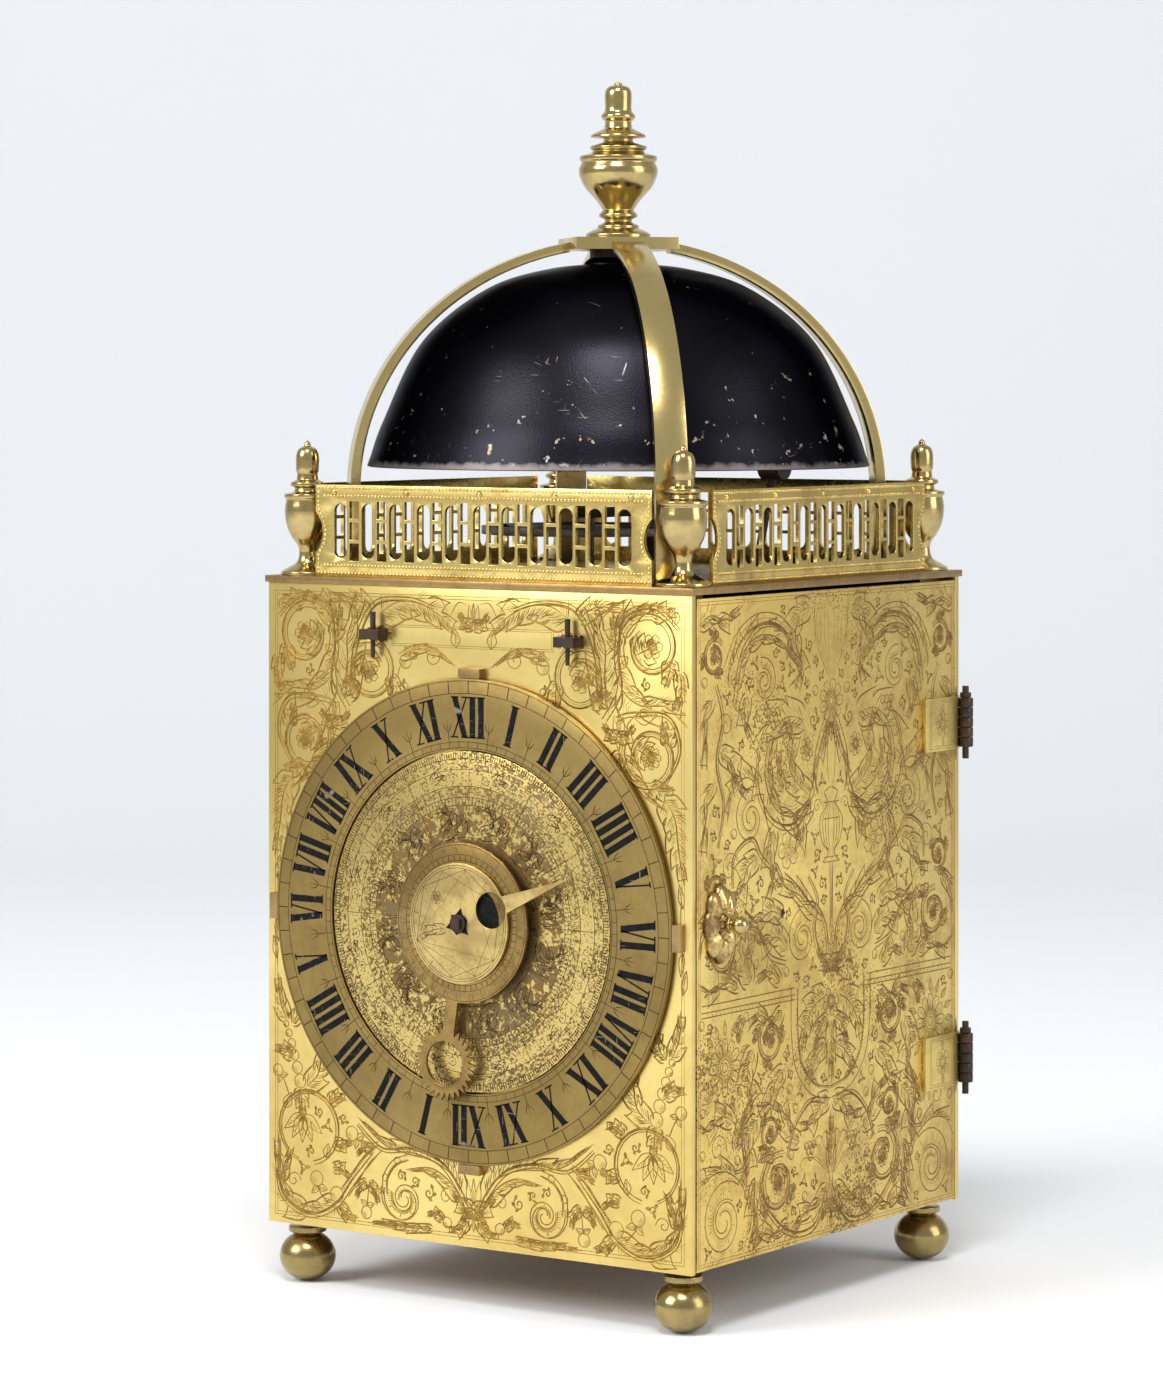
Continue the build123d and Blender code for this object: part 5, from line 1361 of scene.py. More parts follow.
def door_lower():
    """Pendant leaves, a spreading palmette, shells and scrolls on the lower part of a door."""
    half = Drawing(0.19)
    half.leaf([(1, 58), (6.4, 56.6), (10.6, 52), (16.6, 52.6)], 2.2, 6)
    for turn, reach in ((18, 16.4), (36, 15), (54, 13.6), (72, 12.6)):
        heading = math.radians(turn)
        tip = (reach * math.cos(heading), 37.6 + reach * 0.92 * math.sin(heading))
        bend = (tip[0] * 0.62, 37.6 + (tip[1] - 37.6) * 0.9)
        half.curve([(1, 36), bend, tip, (tip[0] + 1.6, tip[1] - 2.6)])
        half.curve([(1, 36), (bend[0] * 0.8, bend[1]), (tip[0] * 0.86, tip[1] - 0.4)], 0.12)
    half.curve([(1.2, 35), (4, 29), (10, 24), (17, 23.6)])
    half.curve([(0.6, 34.6), (2.6, 27), (6, 21.4)])
    half.leaf([(2, 32.6), (7.6, 27.6), (15, 26.6), (20.6, 21.6)], 2.3, 6)
    half.vine([(1.6, 33.6), (8, 22.6), (20, 21.2), (31, 27), (38.6, 37), (33.6, 47)], 1.7, 0.5)
    half.vine([(3, 57.6), (12, 58.6), (20, 52.6), (24, 44)], 1.4, 0.5, -1)
    half.vine([(41.6, 61), (47.6, 55), (46.6, 45), (52, 43.6)], 1.4, 0.5)
    half.roundel(29, 37.4, 8.6, 110, -1, 7)
    half.roundel(33, 52.6, 5.2, 260, 1, 5)
    half.leaf([(17, 47.6), (22, 50), (25.6, 57), (32, 59.8)], 2, 6)
    half.leaf([(39.6, 57), (44.6, 52.6), (44, 45.6), (48.6, 41)], 2.5, 6)
    half.leaf([(22.6, 25.4), (28.6, 21.4), (36, 24), (42, 20.6)], 2.1, 6)
    half.leaf([(40, 40), (42.4, 33.6), (39.6, 28), (43.4, 22.6)], 2, 6)
    half.shell(57.6, 30.6, 12.2, 130, -1, 1.9)
    half.leaf([(46, 24), (44.6, 32), (48.6, 40), (57, 44.6), (66, 43.6), (70.6, 38)], 2, 9, (1,))
    half.leaf([(52.6, 58), (58.6, 60.4), (65, 57), (70.6, 59.4)], 2.1, 6)
    half.spiral(60.6, 51.6, 4.6, 1.5, 200, -1)
    half.leaf([(51.6, 50), (49.6, 55.6), (46, 59.6)], 1.5, 4)
    half.grapes(11.6, 46, 1.1, 3)
    for u, v in ((22, 44.6), (38.6, 46), (68.6, 50.6), (45.6, 36.6), (14.6, 31.6), (50.6, 47),
                 (19.6, 57.6)):
        half.berry(u, v, 1.4)
    drawing = half.mirror()
    drawing.leaf([(0, 37.6), (0, 42), (0, 47), (0, 52.6)], 1.7, 4)
    drawing.stem([(0, 36 - step) for step in range(14)], 1.4, 0.4)
    drawing.tulip(0, 27, 6.4, -1)
    return drawing


def back_drawing():
    """A quieter pattern of scrolls for the back."""
    half = Drawing(0.17)
    for v, hand, start in ((178, 1, 250), (142, -1, 100), (62, -1, 250), (100, 1, 110)):
        half.roundel(55, v, 12, start, hand)
        half.roundel(24, v - 4, 11, start + 40, -hand)
        half.leaf([(40, v + 16), (38, v + 8), (41, v), (38.5, v - 9)], 3.2, 6)
        half.leaf([(8, v + 14), (6, v + 6), (9, v - 2), (6, v - 12)], 2.6, 6)
        half.berry(68.5, v - 14, 1.4)
        half.berry(10, v + 17, 1.4)
    half.shell(52, 36, 9, 130, -1)
    half.leaf([(38, 44), (30, 40), (20, 42), (10, 38)], 3, 6)
    half.leaf([(34, 26), (26, 28), (18, 25), (8, 27)], 2.2, 6)
    half.leaf([(62, 200), (52, 197), (42, 200), (30, 197)], 3, 7)
    drawing = half.mirror()
    drawing.rosette(0, 196, 6.4, 10)
    drawing.tulip(0, 30, 8)
    return drawing


# Dial
NUMERALS = ("XII", "I", "II", "III", "IIII", "V", "VI", "VII", "VIII", "IX", "X", "XI")
NUMERAL_FOOT = 52.9
NUMERAL_HEAD = 64.4
STROKE_THICK = 1.95
STROKE_THIN = 0.5
LETTER_WIDTHS = {"I": 3.0, "V": 5.8, "X": 6.0}
NUMERAL_WIDEST = 13.2


def letter_shapes(letter, left, squeeze):
    """The thick and thin strokes and the end lines of a letter, as polygons (across, outwards)."""
    width = LETTER_WIDTHS[letter] * squeeze
    thick = STROKE_THICK * squeeze
    foot, head = NUMERAL_FOOT, NUMERAL_HEAD
    bar = 0.42

    def slanted(low_u, high_u, breadth):
        return [(low_u, foot), (low_u + breadth, foot), (high_u + breadth, head), (high_u, head)]

    def level(start, end, v):
        return [(start, v - bar / 2), (end, v - bar / 2), (end, v + bar / 2), (start, v + bar / 2)]

    if letter == "I":
        middle = left + (width - thick) / 2
        shapes = [slanted(middle, middle, thick)]
        shapes += [level(left + 0.1, left + width - 0.1, v) for v in (foot, head)]
    elif letter == "V":
        base = left + width / 2 - thick / 2
        shapes = [slanted(base, left + 0.2, thick)]
        shapes.append(slanted(base + thick * 0.6, left + width - STROKE_THIN - 0.4, STROKE_THIN))
        shapes += [level(left - 0.3, left + thick + 0.5, head),
                   level(left + width - 1.6, left + width + 0.1, head)]
    else:
        shapes = [slanted(left + width - thick - 0.2, left + 0.2, thick)]
        shapes.append(slanted(left + 0.4, left + width - STROKE_THIN - 0.4, STROKE_THIN))
        for v in (foot, head):
            shapes += [level(left - 0.2, left + width * 0.42, v),
                       level(left + width * 0.6, left + width + 0.2, v)]
    return shapes


def numeral_polygons():
    """Twice twelve hours round the ring, with twelve at the top and at the bottom."""
    polygons = []
    for hour in range(24):
        letters = NUMERALS[hour % 12]
        wide = sum(LETTER_WIDTHS[letter] for letter in letters)
        squeeze = min(1.0, NUMERAL_WIDEST / wide)
        left = -wide * squeeze / 2
        turn = math.tau * hour / 24
        for letter in letters:
            for shape in letter_shapes(letter, left, squeeze):
                polygons.append([at_clock(turn, v, u) for u, v in shape])
            left += LETTER_WIDTHS[letter] * squeeze
    return polygons


def at_clock(turn, radius, across=0.0):
    """A place on the dial at an angle clockwise from the top, in radians."""
    return (radius * math.sin(turn) + across * math.cos(turn),
            DIAL_Z + radius * math.cos(turn) - across * math.sin(turn))


def clock_path(turn, *places):
    """A line through places about one angle of the dial, given as (radius, across)."""
    return [at_clock(turn, *place) for place in places]


def ring_drawing():
    """The tracks, half-hour marks and quarter marks of the chapter ring."""
    drawing = Drawing(0.13)
    for radius, pen in ((MINUTE_IN, 0.13), (MINUTE_OUT, 0.13), (QUARTER_IN, 0.12),
                        (QUARTER_OUT, 0.12)):
        drawing.ring(0.0, DIAL_Z, radius, pen, 180)
    for half_hour in range(24):
        turn = math.tau * (half_hour + 0.5) / 24
        drawing.line(clock_path(turn, (QUARTER_OUT,), (56.4,)), 0.14)
        for across in (-1.5, 1.5):
            drawing.line(clock_path(turn, (54.6,), (55.6, across * 0.55), (57.2, across)), 0.2,
                         True)
        drawing.line(clock_path(turn, (55.8,), (58.0,)), 0.2, True)
    for quarter in range(96):
        turn = math.tau * quarter / 96
        drawing.line(clock_path(turn, (QUARTER_IN,), (QUARTER_OUT,)), 0.12)
    return drawing


def calendar_drawing():
    """Rings of days, degrees and scrollwork on the calendar, with plain numbers."""
    drawing = Drawing(0.10)
    for radius in CALENDAR_RINGS:
        drawing.ring(0.0, DIAL_Z, radius, 0.11, 150)
    for month in range(12):
        turn = math.tau * month / 12
        drawing.line(clock_path(turn, (CALENDAR_RINGS[-1],), (CALENDAR_RINGS[1],)), 0.12)
        for day in (5, 10, 15, 20, 25, 30):
            place = math.tau * (month + day / 31) / 12
            drawing.text(str(day), at_clock(place, 45.2), -place, 1.9)
            drawing.text(str(day), at_clock(place, 37.3), -place, 1.7)
        middle = turn + math.tau / 24
        for shift in (-0.42, 0.42):
            place = turn + math.tau * (0.5 + shift * 0.55) / 12
            u, v = at_clock(place, 41.3)
            drawing.spiral(u, v, 1.7, 1.4, month * 30 + 90 * shift, 1 if shift > 0 else -1)
        drawing.leaf(clock_path(middle, (41.3, -2.6), (42.6,), (41.3, 2.6)), 1.0, 3, hatch=False)
        u, v = at_clock(middle, 28.8)
        drawing.spiral(u, v, 3.4, 1.3, 40 * month, 1 if month % 2 else -1, 0.13)
        drawing.leaf(clock_path(middle, (25.4, -3.0), (27.6, 1.0), (31.6, 0.4), (32.6, -3.2)), 1.5,
                     4)
        drawing.leaf(clock_path(middle, (25.0, 4.4), (28.6, 4.8), (32.2, 3.6)), 1.2, 3, hatch=False)
        drawing.berry(*at_clock(middle, 32.0, -5.4), 0.6)
    return drawing


def moon_age_drawing():
    """The ring of the moon's age, with plain numbers from 1 to 29."""
    drawing = Drawing(0.09)
    for radius in MOON_AGE_RINGS:
        drawing.ring(0.0, DIAL_Z, radius, 0.10, 110)
    for day in range(1, 30):
        turn = math.tau * day / 29.5
        drawing.text(str(day), at_clock(turn, 21.0), -turn, 1.8)
    return drawing


def moon_drawing():
    """The lines of the aspects on the moon disc: a triangle, a square and a hexagon."""
    drawing = Drawing(0.09)
    for radius in MOON_RINGS:
        drawing.ring(0.0, DIAL_Z, radius, 0.09, 90)
    for sides in (3, 4, 6):
        turns = [POINTER_TURN + math.pi + math.tau * number / sides for number in range(sides)]
        drawing.line([at_clock(turn, 15.8) for turn in turns], 0.10, closed=True)
    for sector in range(12):
        turn = POINTER_TURN + math.tau * sector / 12
        drawing.line(clock_path(turn, (14.4,), (MOON_RINGS[1],)), 0.09)
    drawing.rosette(*at_clock(POINTER_TURN + 1.35 * math.pi, 10.4), 2.0, 6)
    away = POINTER_TURN + math.pi
    drawing.leaf(clock_path(away, (5.0,), (9.5, 1.0), (14.0,)), 1.0, 3, hatch=False)
    return drawing


# Pieces
BELL_WALL = 2.2
BELL_CURVE = ((1.0, 0.0), (0.985, 0.05), (0.934, 0.225), (0.78, 0.612), (0.53, 0.868),
              (0.27, 0.972), (0.0, 1.0))
MAIN_FINIAL = ((9.7, 0), (9.7, 1.2), (8.6, 2), (6.2, 3), (6.2, 3.8), (4.1, 4.8), (4.1, 5.6),
               (5.8, 6.4), (5.8, 7.2), (4.6, 8.4), (6.4, 11.2), (10.2, 15.2), (11.8, 18.8),
               (11.9, 20.8), (11, 22.8), (11.6, 23.4), (11.6, 24.6), (8, 25.6), (7.6, 26.2),
               (8.5, 26.8), (8.5, 27.6), (4.5, 28.8), (4.4, 29.8), (8.3, 30.2), (8.2, 31),
               (4.2, 33), (3.9, 35), (5.1, 36), (5.1, 37), (3.9, 38.2), (4.1, 43.8), (3.2, 45.4),
               (1.2, 46), (1.1, 46.6))
CORNER_FINIAL = ((7.9, 0), (7.9, 1), (6.2, 2), (3.4, 3.4), (2.6, 5), (2.4, 7), (2.9, 8.8),
                 (4.6, 11), (5.9, 13.6), (6.6, 16.6), (6.8, 19.6), (6.3, 22.4), (6.9, 23),
                 (6.9, 24), (4, 24.6), (3.7, 25.8), (5, 26.4), (5, 27.4), (3.2, 28.2), (3, 30.2),
                 (3.4, 30.8), (3.5, 35.4), (2.7, 37.4), (1, 38.2), (0.9, 39.2))


def corners():
    """The places of the feet and of the gallery finials."""
    return [(x, y) for x in (-CORNER_X, CORNER_X) for y in (-CORNER_Y, CORNER_Y)]


def turned(name, profile, low, high, centres, material, node):
    """A turned piece that stands for a CAD node, from its foot to its tip."""
    outline = [(0.0, low)] + [(radius, low + height) for radius, height in profile] + [(0.0, high)]
    steps = bpy.context.scene.clock_dressing.lathe_steps
    thing = show(name, lathe_mesh(name, softened(outline), centres, steps), "case", material)
    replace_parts(thing, node)
    return thing


def make_bell():
    """The thin black bell, with a rounded rim."""
    radius = (BELL_HIGH[0] - BELL_LOW[0]) / 2
    height = BELL_HIGH[2] - BELL_LOW[2]
    curve = [(radius * r, BELL_LOW[2] + height * h) for r, h in reversed(BELL_CURVE)]
    outer = resampled(smooth_path(curve, 10), 60)
    inner = []
    for index, (r, z) in enumerate(outer):
        normal = side_of(outer, index)
        inner.append((max(r - abs(normal[0]) * BELL_WALL, 0.0), z - abs(normal[1]) * BELL_WALL))
    outer[0] = (0.0, BELL_HIGH[2])
    inner[0] = (0.0, BELL_HIGH[2] - BELL_WALL)
    rim = [(radius - 0.15, BELL_LOW[2] + 0.25), (radius - 0.7, BELL_LOW[2]),
           (radius - 1.5, BELL_LOW[2]), (radius - 2.0, BELL_LOW[2] + 0.3)]
    inner = [(r, max(z, BELL_LOW[2] + 0.5)) for r, z in inner]
    profile = outer[:-1] + rim + list(reversed(inner[:-1]))
    thing = show("bell_shell", lathe_mesh("bell_shell", profile, [(0.0, 0.0)], 160), "case", "bell")
    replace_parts(thing, "bell")
    seat, under = BELL_HIGH[2] - 0.8, CROWN_FOOT_Z - 0.05
    washer = [(0.0, seat), (10.4, seat - 0.3), (10.2, seat + 1.0), (6.4, under - 0.6), (6.2, under),
              (0.0, under)]
    mesh = lathe_mesh("bell_washer", softened(washer), [(0.0, 0.0)], 96)
    show("bell_washer", mesh, "case", "bell")


def make_finials():
    """The great finial and the four small ones."""
    turned("crown_finial", MAIN_FINIAL, FINIAL_LOW[2], FINIAL_HIGH[2], [(0.0, 0.0)], "polished",
           "main_finial")
    turned("gallery_finials", CORNER_FINIAL, TOP_Z, CORNER_TIP_Z, corners(), "polished",
           "corner_finials")


def make_feet():
    """Four flattened ball feet under their collars."""
    ball_r = (FEET_HIGH[0] - FEET_LOW[0]) / 2 - CORNER_X
    ball_half = 7.4
    collar_r = 5.6
    neck = 2 * ball_half - 0.5
    top = min(FEET_HIGH[2], neck + 2.0)
    ball = [(ball_r * math.sin(math.pi * step / 20),
             ball_half * (1 - math.cos(math.pi * step / 20))) for step in range(1, 20)]
    outline = [(0.0, 0.0)] + [(r, z) for r, z in ball if z < neck]
    outline += [(collar_r - 0.8, neck), (collar_r, neck + 0.4), (collar_r, top), (0.0, top)]
    steps = bpy.context.scene.clock_dressing.lathe_steps
    mesh = lathe_mesh("round_feet", softened(outline, 0.2), corners(), steps)
    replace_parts(show("round_feet", mesh, "case", "foot"), "ball_feet")


def boss_mesh(name, side):
    """A cast rosette of rounded lobes round the latch knob, on the right (1) or left (-1) door."""
    low, high = edges(("right" if side > 0 else "left") + "_latch_escutcheon")
    middle_y, middle_z = ((low[axis] + high[axis]) / 2 for axis in (1, 2))
    half_y, half_z = ((high[axis] - low[axis]) / 2 for axis in (1, 2))
    face = low[0] if side > 0 else high[0]
    deep = high[0] - low[0]
    rings, steps, lobes = 18, 96, 8
    points = [(face + side * deep * 0.95, middle_y, middle_z)]
    for ring in range(1, rings + 1):
        share = ring / rings
        height = deep * (1 - share ** 2.4) ** 0.5
        collar = 1 - 0.34 * math.exp(-((share - 0.34) / 0.07) ** 2)
        swell = math.sin(math.pi * min(1.0, share * 1.15)) ** 0.7
        for step in range(steps):
            angle = math.tau * step / steps
            petal = abs(math.cos(lobes * angle / 2))
            edge = 0.86 + 0.14 * petal ** 0.6
            relief = 1 - 0.46 * (1 - petal ** 0.5) * swell
            points.append((face + side * height * relief * collar,
                           middle_y + half_y * edge * share * math.cos(angle),
                           middle_z + half_z * edge * share * math.sin(angle)))
    points.append((face, middle_y, middle_z))
    return mesh_of(name, points, spun_faces(0, rings, steps), 180.0)


def make_bosses():
    """The lobed bosses that the latch knobs turn in."""
    for name, side in (("right", 1), ("left", -1)):
        piece = f"{name}_latch_boss"
        thing = show(piece, boss_mesh(piece, side), f"{name}_door", "cast")
        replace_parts(thing, f"{name}_latch_escutcheon")


def make_fret_beads():
    """The double beaded rails of the four gallery frets, with the rivets of their upper rails."""
    low, high = FRET_LOW[2], FRET_HIGH[2]
    rails = (0.95, 3.3)
    column_in = 1.0
    notch_r, notch_out, notch_drop = 8.0, 5.4, 0.5
    rivet_in, rivet_drop = 6.0, 2.1
    middle = (low + high) / 2 - notch_drop
    for face, end, depth in (
            ("front", FRET_HIGH[0], FRET_LOW[1]), ("back", FRET_HIGH[0], -FRET_LOW[1]),
            ("right", SIDE_FRET_HIGH[1], SIDE_FRET_HIGH[0]),
            ("left", SIDE_FRET_HIGH[1], SIDE_FRET_HIGH[0])):
        rows = [[(rail - end, v), (end - rail, v)] for rail in rails
                for v in (low + rail, high - rail)]
        for side in (1, -1):
            column = []
            for step in range(25):
                v = low + column_in + (high - low - 2 * column_in) * step / 24
                span = (notch_r + column_in) ** 2 - (v - middle) ** 2
                hollow = end + notch_out - math.sqrt(span) if span > 0 else end
                column.append((side * min(end - column_in, hollow), v))
            rows.append(column)
        fret_beads(f"{face}_fret_beads", rows, face, depth, 1.25, 0.5)
        reach = end - rails[0] - rivet_in
        rivets = [[(-reach, high - rivet_drop), (reach, high - rivet_drop)]]
        fret_beads(f"{face}_fret_rivets", rivets, face, depth, (end - 7.0) / 2, 1.0, 0.7)


NODE_FINISHES = {
    "front_gilt": ("front_plate", "back_plate"),
    "door_gilt": ("right_door", "left_door"),
    "hinge": ("right_door_hinge_leaves", "left_door_hinge_leaves", "fixed_hinge_leaves"),
    "iron": ("hinge_pins", "front_plate_studs", "bell_stud", "centre_arbor", "potence",
             "balance_cock", "movement_front_plate", "movement_back_plate", "left_taper_pin",
             "right_taper_pin", "hammer"),
    "steel": ("barrel_arbors", "count_wheel_post", "dial_drive_pinions", "verge", "balance_wheel"),
    "polished": ("right_latch_knob", "left_latch_knob", "corner_finials", "main_finial",
                 "right_latch_escutcheon", "left_latch_escutcheon"),
    "strap": ("strap_crown",),
    "ring": ("chapter_ring",),
    "plate": ("chapter_ring_lugs",),
    "calendar": ("calendar_disc",),
    "hand": ("sun_hand",),
    "moon": ("moon_disc",),
    "bell": ("bell",),
    "foot": ("ball_feet",),
}
# For the other nodes, the finish of the first part of a name that fits
FAMILY_FINISHES = (
    ("gallery_fret", "fret"), ("bell_strap", "strap"), ("wheel", "train"), ("fusee", "train"),
    ("barrel", "train"), ("fly", "train"), ("", "plate"))


def finish_of(node):
    """The name of a CAD node's finish."""
    for look, nodes in NODE_FINISHES.items():
        if node in nodes:
            return look
    return next(look for part, look in FAMILY_FINISHES if part in node)


def make_cad_finishes():
    """Gives each CAD node its metal, soft edges and smooth shading."""
    options = bpy.context.scene.clock_dressing
    for name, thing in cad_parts.items():
        thing.data.materials.clear()
        thing.data.materials.append(finish(finish_of(name)))
        weld = thing.modifiers.new("Weld", "WELD")
        weld.merge_threshold = 0.000001
        soft = thing.modifiers.new("Soft Edges", "BEVEL")
        soft.width = options.edge_width
        soft.segments = 2
        soft.limit_method = "ANGLE"
        soft.angle_limit = math.radians(38)
        soft.use_clamp_overlap = True
        shade = thing.modifiers.new("Smooth Below Angle", "NODES")
        shade.node_group = made(smooth_tree)
        set_inputs(shade, {"Limit": math.radians(30)})


def make_plate_engraving():
    """The engraving on the front and on the back of the case."""
    upper, lower = front_drawings()
    framed(upper, CASE_HALF, PLATE_LOW_Z, PLATE_HIGH_Z)
    for part, drawing in (("upper", upper), ("lower", lower)):
        drawing.kept(CASE_HALF, PLATE_LOW_Z, PLATE_HIGH_Z)
        engrave(f"front_{part}_engraving", drawing, "front", FRONT_Y, "case", "engraving")
    engrave("front_label", label_drawing(), "front", FRONT_Y, "case", "engraving")
    back = back_drawing()
    framed(back, CASE_HALF, PLATE_LOW_Z, PLATE_HIGH_Z)
    back.kept(CASE_HALF, PLATE_LOW_Z, PLATE_HIGH_Z)
    engrave("back_engraving", back, "back", BACK_Y, "case", "engraving")


def leaf_drawing(turn):
    """The borders and rosettes of a door's hinge leaves, seen from its side (turn 1 or -1)."""
    drawing = Drawing(0.13)
    near, far = LEAF_NEAR_Y * turn, LEAF_FAR_Y * turn
    middle = (near + far) / 2
    for centre in HINGE_ZS:
        for gap in (0.8, 1.5):
            a, b = near + gap * turn, far - gap * turn
            low, high = centre - LEAF_HALF_Z + gap, centre + LEAF_HALF_Z - gap
            drawing.line([(a, low), (b, low), (b, high), (a, high)], closed=True)
        drawing.rosette(middle, centre, 4.0, 8)
        for side in (1, -1):
            drawing.sprig(middle, centre + side * 4.2, 2.2, 90 * side, 0.8)
    return drawing


def make_door_engraving():
    """The engraving on the two doors and on their hinge leaves."""
    for name, turn in (("right", 1), ("left", -1)):
        drawings = door_drawings()
        framed(drawings[2], DOOR_HIGH[1], DOOR_LOW[2], DOOR_HIGH[2], 1.0)
        body = f"{name}_door"
        for part, drawing in zip(("upper", "middle", "lower"), drawings):
            drawing.kept(DOOR_HIGH[1], DOOR_LOW[2], DOOR_HIGH[2])
            engrave(f"{body}_{part}_engraving", drawing, name, DOOR_HIGH[0], body, "door_engraving")
        engrave(f"{name}_leaf_engraving", leaf_drawing(turn), name, LEAF_X, body, "door_engraving")


def make_dial():
    """Numerals, tracks, the calendar's rings and the moon's marks."""
    ring_y = RING_LOW[1]
    inlay("hour_numerals", numeral_polygons(), ring_y, "case")
    for name, drawing, depth, body in (
            ("ring_tracks", ring_drawing(), ring_y, "case"),
            ("calendar_rings", calendar_drawing(), CALENDAR_Y, "calendar"),
            ("moon_age_numbers", moon_age_drawing(), MOON_AGE_Y, "sun"),
            ("moon_aspects", moon_drawing(), MOON_Y, "moon")):
        engrave(name, drawing, "front", depth, body, "dial_engraving")
    radial_marks("minute_marks", 60, MINUTE_IN, MINUTE_OUT, 0.28, ring_y, "case")
    radial_marks("day_marks", 365, 46.8, 48.5, 0.2, CALENDAR_Y, "calendar")
    radial_marks("degree_marks", 180, 33.6, 35.6, 0.16, CALENDAR_Y, "calendar")
    radial_marks("week_marks", 73, CALENDAR_RINGS[2], 39.9, 0.16, CALENDAR_Y, "calendar")
    radial_marks("moon_age_marks", 59, MOON_AGE_RINGS[0], 19.4, 0.2, MOON_AGE_Y, "sun")
    # The star round the moon's nose is a hole. This black wax plate in its shape is painted shade
    # that stands for the dark inside of the hole.
    star = [at_clock(math.tau * step / 12 + 0.2, reach)
            for step, reach in enumerate((4.6, 2.6, 3.4, 2.7) * 3)]
    inlay("moon_nose_hole_painted_shade", [star], MOON_Y, "moon", 0.1)
    centre = at_clock(POINTER_TURN, MOON_WINDOW_OFF)
    rim = [polar(*centre, MOON_WINDOW_R, math.tau * step / 72) for step in range(72)]
    inlay("moon_phase_shade", [rim], MOON_AGE_Y, "sun", 0.12)


# Stage
def area_light(name, place, goal, size, power):
    """A rectangular lamp that faces its goal."""
    data = bpy.data.lights.new(name, "AREA")
    data.shape = "RECTANGLE"
    data.size, data.size_y = size
    data.energy = power
    lamp = bpy.data.objects.new(name, data)
    lamp.location = place
    lamp.rotation_euler = (Vector(goal) - Vector(place)).to_track_quat("-Z", "Y").to_euler()
    bpy.context.scene.collection.objects.link(lamp)
    return lamp


CAMERA_PLACE = (0.78292, -1.15251, 0.27007)
CAMERA_TURN = 0.6049
CAMERA_DIP = 0.00621
CAMERA_SHIFT = (0.0009, -0.2147)
AIR_COLOUR = (0.965, 0.98, 1.0, 1.0)
AIR_SEEN = 0.92
# How far in front of the clock the ground starts to fade, and where it has gone, in metres
GROUND_FADE = (-1.9, -2.9)
LONG_SIDE_PX = 1400
FOCAL_PX = 4639.57
SENSOR = 36.0


def make_camera():
    """The camera at the photograph's angle, with its rise as a shift."""
    data = bpy.data.cameras.new("Camera")
    data.sensor_width = SENSOR
    data.lens = FOCAL_PX / LONG_SIDE_PX * SENSOR
    data.shift_x, data.shift_y = CAMERA_SHIFT
    data.clip_start = 0.05
    camera = bpy.data.objects.new("Camera", data)
    camera.location = CAMERA_PLACE
    camera.rotation_euler = (math.pi / 2 - CAMERA_DIP, 0.0, CAMERA_TURN)
    bpy.context.scene.collection.objects.link(camera)
    bpy.context.scene.camera = camera


def make_ground():
    """A pale ground that sweeps up behind the clock."""
    ahead = Vector((-math.sin(CAMERA_TURN), math.cos(CAMERA_TURN), 0))
    across = Vector((ahead.y, -ahead.x, 0))
    front, reach, bend, wall, half_width = -3.0, 1.1, 0.9, 3.0, 4.0
    line = [(front, 0.0), (reach, 0.0)]
    for step in range(1, 25):
        angle = math.pi / 2 * step / 24
        line.append((reach + bend * math.sin(angle), bend * (1 - math.cos(angle))))
    line.append((reach + bend, wall))
    points = []
    for along, z in line:
        for side in (-half_width, half_width):
            place = ahead * along + across * side
            points.append((place.x, place.y, z))
    faces = [(2 * i, 2 * i + 1, 2 * i + 3, 2 * i + 2) for i in range(len(line) - 1)]
    mesh = bpy.data.meshes.new("studio_ground")
    mesh.from_pydata(points, [], faces)
    mesh.shade_smooth()
    mesh.materials.append(finish("ground"))
    ground = bpy.data.objects.new("studio_ground", mesh)
    bpy.context.scene.collection.objects.link(ground)
    return ground


def make_world(strength):
    """Pale air that lights the clock with the given strength and is itself seen brighter."""
    world = bpy.data.worlds.new("Studio air")
    world.use_nodes = True
    bpy.context.scene.world = world
    back = world.node_tree.nodes["Background"]
    back.inputs["Color"].default_value = AIR_COLOUR
    tree = Tree(world.node_tree)
    seen = tree.add("ShaderNodeLightPath").outputs["Is Camera Ray"]
    tree.put(back, "Strength", tree.steps(seen, 0.0, 1.0, strength, AIR_SEEN))


def make_stage():
    """Ground, air, soft lights and the camera."""
    options = bpy.context.scene.clock_dressing
    bpy.context.scene.view_settings.view_transform = "Standard"
    make_world(options.air_strength)
    middle, key = (0.0, 0.0, 0.17), options.key_power
    lights = [
        area_light("key", (-0.75, -1.55, 1.15), middle, (0.9, 0.9), key),
        area_light("side", (1.7, 0.25, 0.75), middle, (0.9, 1.3), key * 0.45),
        area_light("over", (0.47, -0.92, 1.72), (0.0, 0.0, 0.25), (0.6, 0.6), key * 0.75),
    ]
    make_ground()
    make_camera()


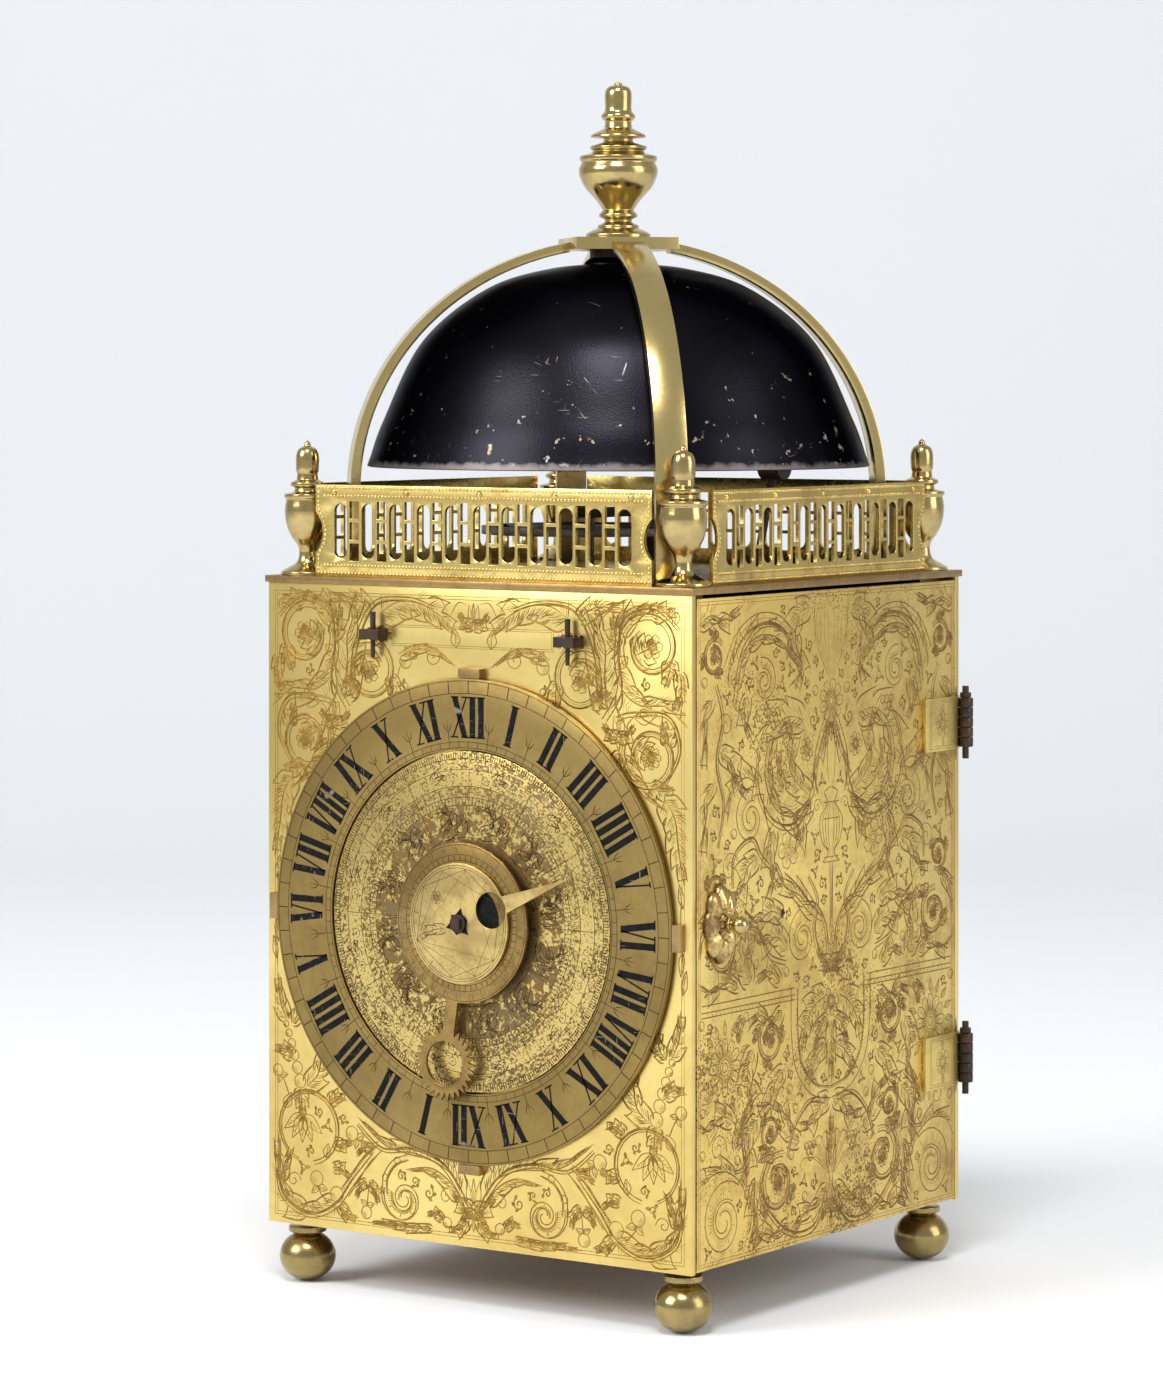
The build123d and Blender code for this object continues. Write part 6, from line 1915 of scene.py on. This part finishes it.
# Add-on
class ClockDressing(bpy.types.PropertyGroup):
    """Sizes and strengths that the operators share."""

    line_flatness: bpy.props.FloatProperty(
        name="Line Flatness", description="Height of an engraved line over its half width",
        default=0.16, min=0.02, max=1.0, subtype="FACTOR")
    line_scale: bpy.props.FloatProperty(
        name="Line Breadth", description="Breadth of engraved lines over their drawn breadth",
        default=1.0, min=0.2, max=3.0, subtype="FACTOR")
    edge_width: bpy.props.FloatProperty(
        name="Edge Width", description="Width of the softened edges of the metal",
        default=0.00014, min=0.0, max=0.001, unit="LENGTH")
    lathe_steps: bpy.props.IntProperty(
        name="Lathe Steps", description="Steps round a turned piece",
        default=72, min=16, max=256, subtype="UNSIGNED")
    key_power: bpy.props.FloatProperty(
        name="Key Power", description="Power of the main light, in watts",
        default=25.0, min=0.0, max=500.0, subtype="POWER")
    air_strength: bpy.props.FloatProperty(
        name="Air Strength", description="Strength of the light that comes from all round",
        default=0.5, min=0.0, max=5.0, subtype="FACTOR")


class DressMetal(bpy.types.Operator):
    """Gives every CAD node its metal, soft edges and smooth shading"""

    bl_idname = "clock.dress_metal"
    bl_label = "Dress Metal"

    def execute(self, context):
        make_cad_finishes()
        return {"FINISHED"}


class AddBell(bpy.types.Operator):
    """Adds the smooth black bell in place of the CAD bell"""

    bl_idname = "clock.add_bell"
    bl_label = "Add Bell"

    def execute(self, context):
        make_bell()
        return {"FINISHED"}


class AddFinials(bpy.types.Operator):
    """Adds the great finial and the four gallery finials"""

    bl_idname = "clock.add_finials"
    bl_label = "Add Finials"

    def execute(self, context):
        make_finials()
        return {"FINISHED"}


class AddFeet(bpy.types.Operator):
    """Adds the four round feet"""

    bl_idname = "clock.add_feet"
    bl_label = "Add Feet"

    def execute(self, context):
        make_feet()
        return {"FINISHED"}


class AddBosses(bpy.types.Operator):
    """Adds the lobed latch bosses on both doors"""

    bl_idname = "clock.add_bosses"
    bl_label = "Add Latch Bosses"

    def execute(self, context):
        make_bosses()
        return {"FINISHED"}


class AddFretBeads(bpy.types.Operator):
    """Adds the bead rows on the gallery frets"""

    bl_idname = "clock.add_fret_beads"
    bl_label = "Add Fret Beads"

    def execute(self, context):
        make_fret_beads()
        return {"FINISHED"}


class EngravePlates(bpy.types.Operator):
    """Engraves the front and the back of the case"""

    bl_idname = "clock.engrave_plates"
    bl_label = "Engrave Plates"

    def execute(self, context):
        make_plate_engraving()
        return {"FINISHED"}


class EngraveDoors(bpy.types.Operator):
    """Engraves both doors and their hinge leaves"""

    bl_idname = "clock.engrave_doors"
    bl_label = "Engrave Doors"

    def execute(self, context):
        make_door_engraving()
        return {"FINISHED"}


class DressDial(bpy.types.Operator):
    """Adds numerals, tracks and marks to the dial"""

    bl_idname = "clock.dress_dial"
    bl_label = "Dress Dial"

    def execute(self, context):
        make_dial()
        return {"FINISHED"}


class BuildStage(bpy.types.Operator):
    """Builds the ground, the lights and the camera"""

    bl_idname = "clock.build_stage"
    bl_label = "Build Stage"

    def execute(self, context):
        make_stage()
        return {"FINISHED"}


OPERATORS = (DressMetal, AddBell, AddFinials, AddFeet, AddBosses, AddFretBeads, EngravePlates,
             EngraveDoors, DressDial, BuildStage)


class ClockPanel(bpy.types.Panel):
    """The clock's settings and operators in the sidebar"""

    bl_idname = "VIEW3D_PT_table_clock"
    bl_label = "Table Clock"
    bl_space_type = "VIEW_3D"
    bl_region_type = "UI"
    bl_category = "Table Clock"

    def draw(self, context):
        options = context.scene.clock_dressing
        for name in ("line_flatness", "line_scale", "edge_width", "lathe_steps", "key_power",
                     "air_strength"):
            self.layout.prop(options, name)
        for operator in OPERATORS:
            self.layout.operator(operator.bl_idname)


CLASSES = (ClockDressing, *OPERATORS, ClockPanel)


def register():
    for item in CLASSES:
        bpy.utils.register_class(item)
    bpy.types.Scene.clock_dressing = bpy.props.PointerProperty(type=ClockDressing)


def unregister():
    del bpy.types.Scene.clock_dressing
    for item in reversed(CLASSES):
        bpy.utils.unregister_class(item)


def main():
    register()
    bpy.ops.clock.dress_metal()
    bpy.ops.clock.add_bell()
    bpy.ops.clock.add_finials()
    bpy.ops.clock.add_feet()
    bpy.ops.clock.add_bosses()
    bpy.ops.clock.add_fret_beads()
    bpy.ops.clock.engrave_plates()
    bpy.ops.clock.engrave_doors()
    bpy.ops.clock.dress_dial()
    bpy.ops.clock.build_stage()


if __name__ == "__main__":
    main()
